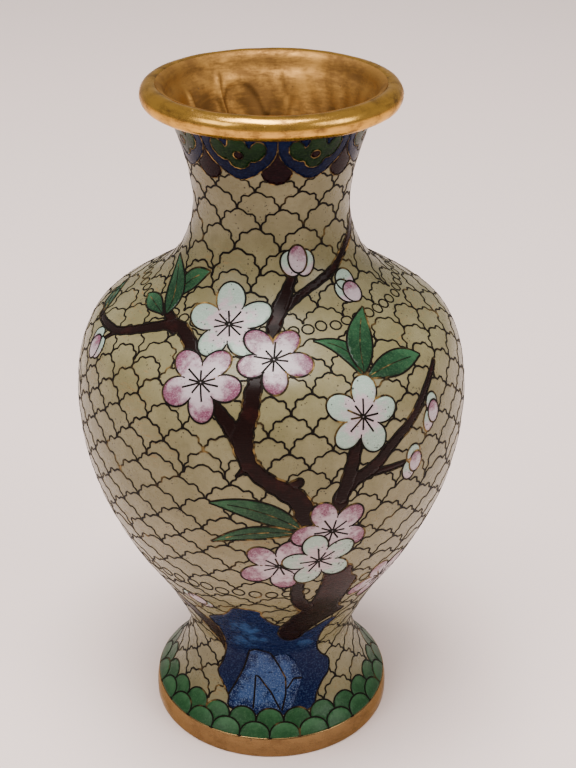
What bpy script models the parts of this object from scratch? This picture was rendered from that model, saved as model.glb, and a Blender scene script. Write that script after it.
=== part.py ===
"""A cloisonne vase: three spun copper sections brazed end to end, a brass mouth rim and foot ring,
a base plate, and the enamel that fills the wire cells on the outside.

The vase stands on the XY plane at the origin, with its front towards -Y. All sizes below are in
millimetres. The decoration is drawn flat, as azimuth in degrees round the vase (0 at the front,
growing to the right) and level in millimetres up the outside, from the foot ring to the mouth rim.
"""

import math

import bmesh
import bpy
import numpy as np

MM = 0.001

# Overall sizes
HEIGHT = 230.0
FOOT_RADIUS = 42.4
FOOT_TOP_RADIUS = 41.6
FOOT_HEIGHT = 8.0
WAIST_RADIUS = 29.1
WAIST_HEIGHT = 33.0
BELLY_RADIUS = 64.3
BELLY_HEIGHT = 121.0
NECK_RADIUS = 24.7
NECK_HEIGHT = 195.0
RIM_RADIUS = 36.6
RIM_BEAD_RADIUS = 3.65

# Walls and fits
ENAMEL_THICKNESS = 1.0
COPPER_THICKNESS = 1.2
CLEARANCE = 0.3
BRIDGE = 0.6
FOOT_RING_WALL = 2.0
FOOT_RING_BEVEL = 0.3
BASE_PLATE_LEVEL = 4.0
BASE_PLATE_THICKNESS = 1.2
BASE_ENAMEL_THICKNESS = 0.6
BASE_ENAMEL_MARGIN = 1.0

# Bands of the decoration, as levels up the outside. The waist, the belly and the neck keep their
# levels when a size changes, so that the drawing follows the shape.
WAIST_LEVEL = 28.7
BELLY_LEVEL = 124.1
NECK_LEVEL = 213.8
DRAWING_HEIGHT = 244.0
SCALE_BAND_TOP = 9.0
LOWER_SEAM = 77.8
SHOULDER_SEAM = 177.8
BORDER_BOTTOM = 226.5
LAPPET_COUNT = 8
LAPPET_DIP = 2.5
LAPPET_TURN = 3.5

# Facets
COPPER_COLUMNS = 32
ENAMEL_COLUMNS = 6 * LAPPET_COUNT
BEAD_FACETS = 8
POINTS_PER_PETAL = 4
BUD_POINTS = 10
PROFILE_STEPS = 24
TURN_PER_ROW = 28.0
LENGTH_PER_ROW = 50.0
LEAST_ROW = 2.0
LONGEST_EDGE = 6.0

# The cutters' reach past the enamel on each side
CUTTER_REACH = 3.0

# The shape between the named sizes: how far each point is from one to the next, in height and radius
FOOT_TO_WAIST = [(0.28, 0.512), (0.64, 0.864)]
WAIST_TO_BELLY = [(0.114, 0.102), (0.261, 0.287), (0.477, 0.614), (0.739, 0.889)]
BELLY_TO_NECK = [
    (0.270, 0.038), (0.432, 0.172), (0.541, 0.442), (0.635, 0.715), (0.743, 0.889), (0.878, 0.985),
]
NECK_TO_LIP = [(0.46, 0.27), (0.89, 0.75)]
PROFILE_SPANS = [FOOT_TO_WAIST, WAIST_TO_BELLY, BELLY_TO_NECK, NECK_TO_LIP]
ANCHOR_LEVELS = [0.0, WAIST_LEVEL, BELLY_LEVEL, NECK_LEVEL, DRAWING_HEIGHT]

# name: (azimuth, level, petal distance from the centre, petal radius, turn), front ones first
BLOSSOMS = {
    "blossom_lower_white": (14.6, 96.5, 7.6, 4.7, 32),
    "blossom_right_white": (26.2, 147.5, 7.6, 4.7, 5),
    "blossom_middle_pink": (0.9, 168.3, 7.3, 4.5, 56),
    "blossom_left_pink": (-21.7, 158.8, 7.8, 4.9, 67),
    "blossom_lower_right_pink": (17.5, 109.5, 7.9, 4.8, 42),
    "blossom_lower_left_pink": (2.5, 95.0, 8.0, 5.0, 66),
    "blossom_upper_white": (-18.9, 179.6, 8.4, 5.2, 30),
    "blossom_side_pink": (47.0, 72.0, 7.6, 4.7, 47),
}

# name: (azimuth, level, width, height)
BUDS = {
    "bud_neck": (15.6, 200.0, 10.6, 9.6),
    "bud_shoulder": (47.0, 188.6, 11.6, 10.0),
    "bud_left": (-69.5, 155.0, 11.2, 9.6),
    "bud_right": (51.0, 140.8, 9.8, 11.0),
    "bud_lower_right": (43.0, 127.2, 9.8, 11.0),
    "bud_foot": (-34.0, 63.8, 9.0, 8.6),
}

# name: (base azimuth, base level, tip azimuth, tip level, width, bend to the left)
LEAVES = {
    "leaf_upper_long": (-54.5, 179.4, -79.5, 193.5, 7.4, -2.6),
    "leaf_upper_curled": (-52.6, 181.0, -40.8, 194.3, 6.6, 4.6),
    "leaf_upper_small": (-56.5, 176.9, -73.0, 177.5, 4.6, -0.6),
    "leaf_right_tall": (31.8, 164.0, 47.4, 180.6, 8.4, 1.6),
    "leaf_right_flat": (35.0, 160.6, 53.4, 158.3, 7.6, 1.8),
    "leaf_right_curled": (28.4, 163.4, 16.5, 173.8, 6.0, -4.0),
    "leaf_lower_long": (6.0, 114.0, -17.1, 121.0, 7.2, -3.4),
    "leaf_lower_short": (2.0, 111.4, -17.5, 105.4, 5.2, -3.4),
}

# name: route of (azimuth, level, width), from the thick end
BRANCHES = {
    "trunk_base": [(11, 43, 13), (15, 53, 15), (22, 62, 17), (24.6, 71, 12), (25, 79, 12), (22, 84, 9)],
    "trunk_side": [(11.5, 66, 4), (9.6, 74, 4), (9.3, 84, 3.6)],
    "trunk_upper": [(9.6, 115, 4.6), (7, 122, 6.4), (2, 128, 5.6), (-4, 134, 5), (-8, 141, 6), (-7.4, 150, 5),
                    (-6, 157, 4)],
    "branch_fork": [(-12.4, 147, 4), (-16, 152.4, 3)],
    "branch_right": [(20.4, 123.6, 5), (25, 128.6, 4.4), (33, 134.6, 4), (42, 141.2, 3.4), (50, 148.4, 3),
                     (57.6, 154.2, 2)],
    "branch_flower": [(22.2, 131.6, 4), (23.2, 138.4, 3.6)],
    "branch_twig": [(32, 128.4, 2.2), (39.6, 128.2, 2)],
    "branch_neck": [(1.2, 177, 4.4), (4, 185, 5.4), (9.4, 191.4, 4.4), (12.6, 195, 3)],
    "branch_neck_long": [(13.6, 188.8, 2.4), (25, 192, 2.4), (40, 195.2, 2.6), (60, 200.4, 3),
                         (78, 205, 3.4), (92, 208.4, 3)],
    "branch_left": [(-31.4, 170, 4), (-40, 174.6, 4.2), (-49, 171.2, 3.2), (-60, 165.6, 2.8),
                    (-71, 161.9, 2.4), (-84, 160.6, 2)],
    "branch_foot": [(-34, 33, 7), (-40, 40, 8.4), (-48, 48, 7), (-58, 55, 4)],
}

# The garden rock's outline, as (azimuth, level), anticlockwise
ROCK_CENTRE = (1.0, 34.0)
ROCK_OUTLINE = [
    (-24, 56), (-35, 50), (-31, 40), (-33, 30), (-38, 20), (-25, 12.4), (0, 12), (25, 12.4), (37, 17.5),
    (44, 23.3), (36, 27.5), (31.3, 36), (32, 42), (38, 48.5), (33.5, 50), (24, 46), (14, 48), (5, 51),
    (-2, 56), (-5, 63.5), (-11, 65), (-17, 63),
]

COLOURS = {
    "brass": ((0.62, 0.42, 0.16), 0.3, 1.0),
    "copper": ((0.45, 0.22, 0.12), 0.4, 1.0),
    "cream": ((0.50, 0.42, 0.24), 0.25, 0.0),
    "green": ((0.05, 0.14, 0.06), 0.25, 0.0),
    "blue": ((0.02, 0.04, 0.20), 0.2, 0.0),
    "pink": ((0.65, 0.33, 0.36), 0.25, 0.0),
    "white": ((0.60, 0.68, 0.60), 0.25, 0.0),
    "brown": ((0.05, 0.012, 0.01), 0.25, 0.0),
    "turquoise": ((0.03, 0.22, 0.25), 0.25, 0.0),
}


def clear_scene():
    for thing in list(bpy.data.objects):
        bpy.data.objects.remove(thing, do_unlink=True)


def material(name):
    """The material of this name, with a Principled shader set from COLOURS."""
    if name in bpy.data.materials:
        return bpy.data.materials[name]
    made = bpy.data.materials.new(name)
    made.use_nodes = True
    colour, roughness, metallic = COLOURS[name]
    shader = made.node_tree.nodes["Principled BSDF"]
    shader.inputs["Base Color"].default_value = (*colour, 1.0)
    shader.inputs["Roughness"].default_value = roughness
    shader.inputs["Metallic"].default_value = metallic
    made.diffuse_color = (*colour, 1.0)
    return made


def between(start, end, shares):
    """Points from start up to but not including end, with the ones at these shares of the way."""
    steps = [(0.0, 0.0), *shares]
    return [
        (start[0] + (end[0] - start[0]) * up, start[1] + (end[1] - start[1]) * out) for up, out in steps
    ]


def profile_points():
    """(height, radius) of the enamel's outer face, from the foot ring to the mouth rim."""
    rim_height = HEIGHT - RIM_BEAD_RADIUS
    seat = (RIM_BEAD_RADIUS + CLEARANCE) * math.sqrt(0.5)
    foot = (FOOT_HEIGHT, FOOT_TOP_RADIUS)
    waist = (WAIST_HEIGHT, WAIST_RADIUS)
    belly = (BELLY_HEIGHT, BELLY_RADIUS)
    neck = (NECK_HEIGHT, NECK_RADIUS)
    lip = (rim_height - seat, RIM_RADIUS - seat)
    named = [foot, waist, belly, neck, lip]
    spans = [between(*ends) for ends in zip(named, named[1:], PROFILE_SPANS)]
    return [point for span in spans for point in span] + [lip]


def smooth_curve(points, steps):
    """A centripetal Catmull-Rom curve through these points, with this many steps between two."""
    points = np.array(points, float)
    padded = np.vstack([2 * points[0] - points[1], points, 2 * points[-1] - points[-2]])
    share = np.linspace(0, 1, steps, endpoint=False)[:, None]
    spans = []
    for before, start, end, after in zip(padded, padded[1:], padded[2:], padded[3:]):
        lead, reach, trail = (
            math.sqrt(math.dist(a, b)) for a, b in ((before, start), (start, end), (end, after))
        )
        leave = (start - before) / lead - (end - before) / (lead + reach) + (end - start) / reach
        arrive = (end - start) / reach - (after - start) / (reach + trail) + (after - end) / trail
        spans.append(
            (2 * share**3 - 3 * share**2 + 1) * start
            + (share**3 - 2 * share**2 + share) * leave * reach
            + (3 * share**2 - 2 * share**3) * end
            + (share**3 - share**2) * arrive * reach
        )
    return np.vstack([*spans, points[-1:]])


class Surface:
    """The enamel's outer face: a turned surface that the drawing is laid on."""

    def __init__(self):
        self.curve = smooth_curve(profile_points(), PROFILE_STEPS)
        steps = np.linalg.norm(np.diff(self.curve, axis=0), axis=1)
        self.lengths = np.concatenate([[0.0], np.cumsum(steps)])
        self.slope = np.gradient(self.curve, self.lengths, axis=0)
        spans = np.cumsum([0] + [len(shares) + 1 for shares in PROFILE_SPANS])
        self.anchors = self.lengths[spans * PROFILE_STEPS]
        self.rows = self.row_levels()

    def length(self, level):
        """Millimetres up the outside to this level of the drawing."""
        return np.interp(level, ANCHOR_LEVELS, self.anchors)

    def level(self, length):
        """The level of the drawing this many millimetres up the outside."""
        return np.interp(length, self.anchors, ANCHOR_LEVELS)

    def row_levels(self):
        """The levels of the facets' rings: every edge of a band, and more where the profile turns."""
        edges = [SCALE_BAND_TOP, LOWER_SEAM, SHOULDER_SEAM, BORDER_BOTTOM, BORDER_BOTTOM + LAPPET_DIP]
        headings = np.degrees(np.unwrap(np.arctan2(*self.slope.T)))
        turned_by = np.concatenate([[0.0], np.cumsum(np.abs(np.diff(headings)))])
        effort = turned_by / TURN_PER_ROW + self.lengths / LENGTH_PER_ROW
        steps = np.arange(1, math.ceil(effort[-1])) * effort[-1] / math.ceil(effort[-1])
        turns = self.level(np.interp(steps, effort, self.lengths))
        free = [float(level) for level in turns if min(abs(level - edge) for edge in edges) > LEAST_ROW]
        return sorted(edges + free)

    def profile(self, level, depth):
        """Radius and height at this level of the drawing, this far under the outer face."""
        at = self.length(level)
        height, radius, rise, flare = (
            float(np.interp(at, self.lengths, column))
            for column in (*self.curve.T, *self.slope.T)
        )
        size = math.hypot(rise, flare)
        return radius - depth * rise / size, height + depth * flare / size

    def point(self, azimuth, level, depth):
        """A point in metres."""
        radius, height = self.profile(level, depth)
        turn = math.radians(azimuth)
        return radius * math.sin(turn) * MM, -radius * math.cos(turn) * MM, height * MM

    def moved(self, azimuth, level, across, up):
        """(azimuth, level) of a place this many millimetres across and up from another."""
        raised = float(self.level(self.length(level) + up))
        radius, _ = self.profile(raised, 0.0)
        return azimuth + math.degrees(across / radius), raised


def solid(name, points, faces, colour, helper=False):
    """An object from points in metres, its faces turned outwards."""
    mesh = bpy.data.meshes.new(name)
    mesh.from_pydata(points, [], faces)
    shaped = bmesh.new()
    shaped.from_mesh(mesh)
    bmesh.ops.recalc_face_normals(shaped, faces=shaped.faces)
    shaped.to_mesh(mesh)
    shaped.free()
    mesh.shade_smooth()
    mesh.set_sharp_from_angle(angle=math.radians(40))
    mesh.materials.append(material(colour))
    made = bpy.data.objects.new(name, mesh)
    bpy.context.scene.collection.objects.link(made)
    if helper:
        made.hide_render = True
        made.display_type = "WIRE"
    return made


def turned(name, section, columns, colour):
    """A ring whose cross-section is this closed outline of (radius, height)."""
    count = len(section)
    points = [
        (radius * math.sin(turn) * MM, -radius * math.cos(turn) * MM, height * MM)
        for turn in (2 * math.pi * column / columns for column in range(columns))
        for radius, height in section
    ]
    faces = [
        (
            column * count + row,
            column * count + (row + 1) % count,
            (column + 1) % columns * count + (row + 1) % count,
            (column + 1) % columns * count + row,
        )
        for column in range(columns)
        for row in range(count)
    ]
    return solid(name, points, faces, colour)


def disc(name, radius, bottom, thickness, colour):
    """A round plate lying flat, with this underside height."""
    shaped = bmesh.new()
    bmesh.ops.create_cone(
        shaped,
        cap_ends=True,
        segments=COPPER_COLUMNS,
        radius1=radius * MM,
        radius2=radius * MM,
        depth=thickness * MM,
    )
    mesh = bpy.data.meshes.new(name)
    shaped.to_mesh(mesh)
    shaped.free()
    mesh.materials.append(material(colour))
    made = bpy.data.objects.new(name, mesh)
    made.location.z = (bottom + thickness / 2) * MM
    bpy.context.scene.collection.objects.link(made)
    return made


def band(surface, name, low, high, layer, columns, colour):
    """A shell round the vase between two levels, which are functions of the azimuth."""
    near, far = layer
    azimuths = [360 * column / columns for column in range(columns)]
    lowest, highest = max(map(low, azimuths)) + CLEARANCE, min(map(high, azimuths)) - CLEARANCE
    rows = [level for level in surface.rows if lowest < level < highest]
    points = []
    for azimuth in azimuths:
        levels = [low(azimuth), *rows, high(azimuth)]
        points += [surface.point(azimuth, level, near) for level in levels]
        points += [surface.point(azimuth, level, far) for level in reversed(levels)]
    count = 2 * (len(rows) + 2)
    faces = [
        (
            column * count + row,
            column * count + (row + 1) % count,
            (column + 1) % columns * count + (row + 1) % count,
            (column + 1) % columns * count + row,
        )
        for column in range(columns)
        for row in range(count)
    ]
    return solid(name, points, faces, colour)


def flat(level):
    """An edge at the same level all round."""
    return lambda azimuth: level


def petal_outline(distance, petal, turn):
    """Five round petals in one outline, as (across, up) from the centre."""
    outline = []
    for step in range(5 * POINTS_PER_PETAL):
        bearing = 72 * step / POINTS_PER_PETAL
        off_axis = math.radians((bearing + 36) % 72 - 36)
        reach = distance * math.cos(off_axis)
        reach += math.sqrt(max(petal**2 - (distance * math.sin(off_axis)) ** 2, 0.0))
        heading = math.radians(bearing + turn)
        outline.append((reach * math.cos(heading), reach * math.sin(heading)))
    return outline


def oval_outline(width, height):
    """An oval, as (across, up) from its centre."""
    return [
        (width / 2 * math.cos(turn), height / 2 * math.sin(turn))
        for turn in (2 * math.pi * step / BUD_POINTS for step in range(BUD_POINTS))
    ]


def grown(outline, grow):
    """An anticlockwise outline moved out by this much, square to its edges."""
    places = []
    for before, here, after in zip([outline[-1], *outline], outline, [*outline[1:], outline[0]]):
        normals = []
        for start, end in ((before, here), (here, after)):
            size = math.dist(start, end)
            normals.append(((end[1] - start[1]) / size, (start[0] - end[0]) / size))
        (one_x, one_y), (two_x, two_y) = normals
        reach = grow / max(1 + one_x * two_x + one_y * two_y, 0.5)
        places.append((here[0] + (one_x + two_x) * reach, here[1] + (one_y + two_y) * reach))
    return places


def refined(places, lengths):
    """These places with more between each two, so that no step is over the longest edge."""
    found = []
    for here, after, length in zip(places, places[1:], lengths):
        parts = math.ceil(length / LONGEST_EDGE)
        found += [
            tuple(a + (b - a) * part / parts for a, b in zip(here, after)) for part in range(parts)
        ]
    return found


class Motif:
    """One filled cell group of the drawing. prism(grow) gives a cutter that much wider all round."""

    def __init__(self, surface, name, colour):
        self.surface = surface
        self.name = name
        self.colour = colour
        self.cutters = {}

    def prism(self, grow):
        if grow not in self.cutters:
            self.cutters[grow] = self.make_prism(f"{self.name}_cutter_{len(self.cutters)}", grow)
        return self.cutters[grow]


class Patch(Motif):
    """A motif whose whole outline can be seen from its centre."""

    def __init__(self, surface, name, colour, centre, outline):
        super().__init__(surface, name, colour)
        self.centre = centre
        closed = [*outline, outline[0]]
        self.outline = refined(closed, [math.dist(a, b) for a, b in zip(closed, closed[1:])])

    def span(self):
        return max(math.hypot(*place) for place in self.outline)

    def reach(self):
        """(azimuth, level, millimetres) of a circle round the motif."""
        return *self.centre, self.span()

    def make_prism(self, name, grow):
        outline = [self.surface.moved(*self.centre, *place) for place in grown(self.outline, grow)]
        radius, _ = self.surface.profile(self.centre[1], 0.0)
        crown = CUTTER_REACH + self.span() ** 2 / (2 * radius)
        over, under = -CUTTER_REACH, ENAMEL_THICKNESS + CUTTER_REACH
        points = [self.surface.point(*place, over) for place in outline]
        points += [self.surface.point(*place, under) for place in outline]
        points += [self.surface.point(*self.centre, -crown), self.surface.point(*self.centre, crown)]
        count = len(outline)
        faces = []
        for near in range(count):
            after = (near + 1) % count
            faces += [
                (near, after, count + after, count + near),
                (after, near, 2 * count),
                (count + near, count + after, 2 * count + 1),
            ]
        return solid(name, points, faces, self.colour, helper=True)


class Strip(Motif):
    """A motif along a route of (azimuth, level, width), such as a branch or a leaf."""

    def __init__(self, surface, name, colour, route):
        super().__init__(surface, name, colour)
        radius, _ = surface.profile(route[0][1], 0.0)
        lengths = [
            math.hypot(math.radians(b[0] - a[0]) * radius, surface.length(b[1]) - surface.length(a[1]))
            for a, b in zip(route, route[1:])
        ]
        self.route = [*refined(route, lengths), route[-1]]

    def reach(self):
        first, last = self.route[0], self.route[-1]
        middle = ((first[0] + last[0]) / 2, (first[1] + last[1]) / 2)
        radius, _ = self.surface.profile(middle[1], 0.0)
        sizes = [
            math.hypot(math.radians(azimuth - middle[0]) * radius, level - middle[1]) + width / 2
            for azimuth, level, width in self.route
        ]
        return *middle, max(sizes)

    def heading(self, index):
        """The route's direction at a point, across and up, at unit length."""
        before = self.route[max(index - 1, 0)]
        after = self.route[min(index + 1, len(self.route) - 1)]
        radius, _ = self.surface.profile(self.route[index][1], 0.0)
        across, up = math.radians(after[0] - before[0]) * radius, after[1] - before[1]
        size = math.hypot(across, up)
        return across / size, up / size

    def make_prism(self, name, grow):
        last = len(self.route) - 1
        points = []
        for index, (azimuth, level, width) in enumerate(self.route):
            across, up = self.heading(index)
            along = {0: -grow, last: grow}.get(index, 0.0)
            for side in (-1, 1):
                aside = side * (width / 2 + grow)
                place = self.surface.moved(
                    azimuth, level, across * along - up * aside, up * along + across * aside
                )
                points.append(self.surface.point(*place, -CUTTER_REACH))
                points.append(self.surface.point(*place, ENAMEL_THICKNESS + CUTTER_REACH))
        faces = [(0, 1, 3, 2), tuple(4 * last + corner for corner in (0, 1, 3, 2))]
        for index in range(last):
            here, there = 4 * index, 4 * index + 4
            for one, other in ((0, 1), (1, 3), (3, 2), (2, 0)):
                faces.append((here + one, here + other, there + other, there + one))
        return solid(name, points, faces, self.colour, helper=True)


def leaf_route(surface, base_azimuth, base_level, tip_azimuth, tip_level, width, bend):
    """A leaf's midrib from base to tip, bowed to its left by bend, with the leaf's width along it."""
    radius, _ = surface.profile((base_level + tip_level) / 2, 0.0)
    across, up = math.radians(tip_azimuth - base_azimuth) * radius, tip_level - base_level
    length = math.hypot(across, up)
    route = []
    for share in (0.0, 0.15, 0.35, 0.6, 0.82, 1.0):
        bow = 4 * bend * share * (1 - share) / length
        azimuth = base_azimuth + (tip_azimuth - base_azimuth) * share - math.degrees(up * bow / radius)
        level = base_level + up * share + across * bow
        route.append((azimuth, level, 0.8 + (width - 0.8) * math.sin(math.pi * share) ** 0.8))
    return route


def motifs_of(surface):
    """Every motif, the front ones first."""
    found = []
    for name, (azimuth, level, *petals) in BLOSSOMS.items():
        colour = "white" if "white" in name else "pink"
        found.append(Patch(surface, name, colour, (azimuth, level), petal_outline(*petals)))
    for name, (azimuth, level, *size) in BUDS.items():
        found.append(Patch(surface, name, "pink", (azimuth, level), oval_outline(*size)))
    found += [Strip(surface, name, "green", leaf_route(surface, *size)) for name, size in LEAVES.items()]
    found += [Strip(surface, name, "brown", route) for name, route in BRANCHES.items()]
    found.append(Patch(surface, "rock_enamel", "blue", ROCK_CENTRE, rock_outline(surface)))
    return found


def rock_outline(surface):
    """The garden rock, as (across, up) from its centre."""
    places = []
    for azimuth, level in ROCK_OUTLINE:
        radius, _ = surface.profile(level, 0.0)
        across = math.radians(azimuth - ROCK_CENTRE[0]) * radius
        places.append((across, surface.length(level) - surface.length(ROCK_CENTRE[1])))
    return places


def overlaps(surface, one, other, margin):
    """Whether the circles round two motifs come within this margin."""
    first, second = one.reach(), other.reach()
    radius, _ = surface.profile((first[1] + second[1]) / 2, 0.0)
    across = math.radians(first[0] - second[0]) * radius
    return math.hypot(across, first[1] - second[1]) < first[2] + second[2] + margin


def cut(target, cutter, operation):
    """Adds a Boolean to target."""
    modifier = target.modifiers.new(f"{operation} {cutter.name}", "BOOLEAN")
    modifier.operation = operation
    modifier.object = cutter
    # The exact solver drops whole pieces where one thin cell group crosses another.
    modifier.solver = "MANIFOLD"


def inlay_motifs(surface, ground, motifs):
    """Cuts each motif's piece out of the enamel, and a pocket for it in the ground.

    A motif behind another keeps a bridge of ground enamel between the two, so that no patch of
    ground is cut off.
    """
    for index, motif in enumerate(motifs):
        piece = band(surface, motif.name, flat(0.0), flat(DRAWING_HEIGHT), (0.0, ENAMEL_THICKNESS),
                     ENAMEL_COLUMNS, motif.colour)
        cut(piece, motif.prism(0.0), "INTERSECT")
        pocket = motif.prism(CLEARANCE)
        for other in motifs[:index]:
            if overlaps(surface, motif, other, 4 * CLEARANCE):
                cut(pocket, other.prism(CLEARANCE + BRIDGE), "DIFFERENCE")
                cut(piece, other.prism(2 * CLEARANCE + BRIDGE), "DIFFERENCE")
        cut(ground, pocket, "DIFFERENCE")


def border_edge(azimuth):
    """The level of the collar border's bottom: hanging lappets with a rise between two."""
    swing = abs(math.cos(math.radians((azimuth - LAPPET_TURN) * LAPPET_COUNT)))
    return BORDER_BOTTOM + LAPPET_DIP * (1 - swing)


def build_copper(surface):
    layer = (ENAMEL_THICKNESS + CLEARANCE, ENAMEL_THICKNESS + CLEARANCE + COPPER_THICKNESS)
    half = CLEARANCE / 2
    for name, low, high in (
        ("foot_section", 0.0, LOWER_SEAM - half),
        ("belly_section", LOWER_SEAM + half, SHOULDER_SEAM - half),
        ("neck_section", SHOULDER_SEAM + half, DRAWING_HEIGHT),
    ):
        band(surface, name, flat(low), flat(high), layer, COPPER_COLUMNS, "copper")


def build_mounts():
    """The mouth rim, the foot ring and the base plate that it holds."""
    bead = [
        (
            RIM_RADIUS + RIM_BEAD_RADIUS * math.cos(turn),
            HEIGHT - RIM_BEAD_RADIUS + RIM_BEAD_RADIUS * math.sin(turn),
        )
        for turn in (2 * math.pi * step / BEAD_FACETS for step in range(BEAD_FACETS))
    ]
    turned("mouth_rim", bead, ENAMEL_COLUMNS, "brass")

    inner = FOOT_RADIUS - FOOT_RING_WALL - FOOT_RING_BEVEL
    slope = ENAMEL_THICKNESS + COPPER_THICKNESS
    section = [
        (FOOT_RADIUS, FOOT_RING_BEVEL),
        (FOOT_TOP_RADIUS + CLEARANCE / 2, FOOT_HEIGHT - CLEARANCE),
        (inner, FOOT_HEIGHT - CLEARANCE - slope),
        (inner, FOOT_RING_BEVEL),
        (inner + FOOT_RING_BEVEL, 0.0),
        (FOOT_RADIUS - FOOT_RING_BEVEL, 0.0),
    ]
    turned("foot_ring", section, ENAMEL_COLUMNS, "brass")

    plate = (inner - CLEARANCE) * math.cos(math.pi / ENAMEL_COLUMNS)
    disc("base_plate", plate, BASE_PLATE_LEVEL, BASE_PLATE_THICKNESS, "copper")
    enamel_bottom = BASE_PLATE_LEVEL - CLEARANCE - BASE_ENAMEL_THICKNESS
    disc("base_enamel", plate - BASE_ENAMEL_MARGIN, enamel_bottom, BASE_ENAMEL_THICKNESS, "turquoise")


def build_enamel(surface):
    layer = (0.0, ENAMEL_THICKNESS)
    half = CLEARANCE / 2
    scales, ground = flat(SCALE_BAND_TOP - half), flat(SCALE_BAND_TOP + half)
    band(surface, "scale_band_enamel", flat(0.0), scales, layer, ENAMEL_COLUMNS, "green")
    band(surface, "collar_border_enamel", border_edge, flat(DRAWING_HEIGHT), layer, ENAMEL_COLUMNS,
         "blue")
    ground = band(surface, "ground_enamel", ground, lambda azimuth: border_edge(azimuth) - CLEARANCE,
                  layer, ENAMEL_COLUMNS, "cream")
    inlay_motifs(surface, ground, motifs_of(surface))


def main():
    clear_scene()
    surface = Surface()
    build_copper(surface)
    build_mounts()
    build_enamel(surface)


main()
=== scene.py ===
"""The looks of a cloisonne vase: glossy enamel between brass wires on a turned copper body.

The drawing on the vase is laid out flat, as azimuth in degrees round the vase (0 at the front, growing
to the right) and level in millimetres up the outside, and is then laid on the turned surface.
"""

import logging
import math
from dataclasses import dataclass, field
from enum import Enum
from typing import Callable, Iterable

import bpy
import numpy as np
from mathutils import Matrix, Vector
from mathutils.geometry import delaunay_2d_cdt


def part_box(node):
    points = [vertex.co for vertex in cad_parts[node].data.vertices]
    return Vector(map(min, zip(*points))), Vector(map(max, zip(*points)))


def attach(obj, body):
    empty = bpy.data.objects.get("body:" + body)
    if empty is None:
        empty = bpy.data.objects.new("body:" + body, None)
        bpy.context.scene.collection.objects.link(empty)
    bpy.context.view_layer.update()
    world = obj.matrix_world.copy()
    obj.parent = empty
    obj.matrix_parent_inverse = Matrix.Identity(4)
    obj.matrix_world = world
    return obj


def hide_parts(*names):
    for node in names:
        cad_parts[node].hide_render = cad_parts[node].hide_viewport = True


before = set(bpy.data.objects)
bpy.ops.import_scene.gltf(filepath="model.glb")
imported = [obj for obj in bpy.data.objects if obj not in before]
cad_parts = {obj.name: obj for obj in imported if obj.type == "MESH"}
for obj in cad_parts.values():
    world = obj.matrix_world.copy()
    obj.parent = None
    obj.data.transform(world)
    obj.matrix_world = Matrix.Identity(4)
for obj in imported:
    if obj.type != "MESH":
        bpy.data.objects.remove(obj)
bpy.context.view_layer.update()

Colour = tuple[float, float, float]
Place = tuple[float, float]

MM = 0.001
BODY = "root"
SEED = 7
FOOT_TAPER = 0.8

log = logging.getLogger("vase")


# ---------------------------------------------------------------- the turned surface


def smooth_curve(points: list[Place], steps: int) -> np.ndarray:
    """Draw a centripetal Catmull-Rom curve.

    Args:
        points: The places that the curve passes through.
        steps: The number of steps between two of them.

    Returns:
        The curve's points, one row each.
    """
    knots = np.array(points, float)
    padded = np.vstack([2 * knots[0] - knots[1], knots, 2 * knots[-1] - knots[-2]])
    share = np.linspace(0, 1, steps, endpoint=False)[:, None]
    spans = []
    for before, start, end, after in zip(padded, padded[1:], padded[2:], padded[3:]):
        lead = math.sqrt(math.dist(before, start))
        reach = math.sqrt(math.dist(start, end))
        trail = math.sqrt(math.dist(end, after))
        leave = (start - before) / lead - (end - before) / (lead + reach) + (end - start) / reach
        arrive = (end - start) / reach - (after - start) / (reach + trail) + (after - end) / trail
        spans.append(
            (2 * share**3 - 3 * share**2 + 1) * start
            + (share**3 - 2 * share**2 + share) * leave * reach
            + (3 * share**2 - 2 * share**3) * end
            + (share**3 - share**2) * arrive * reach
        )
    return np.vstack([*spans, knots[-1:]])


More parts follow.
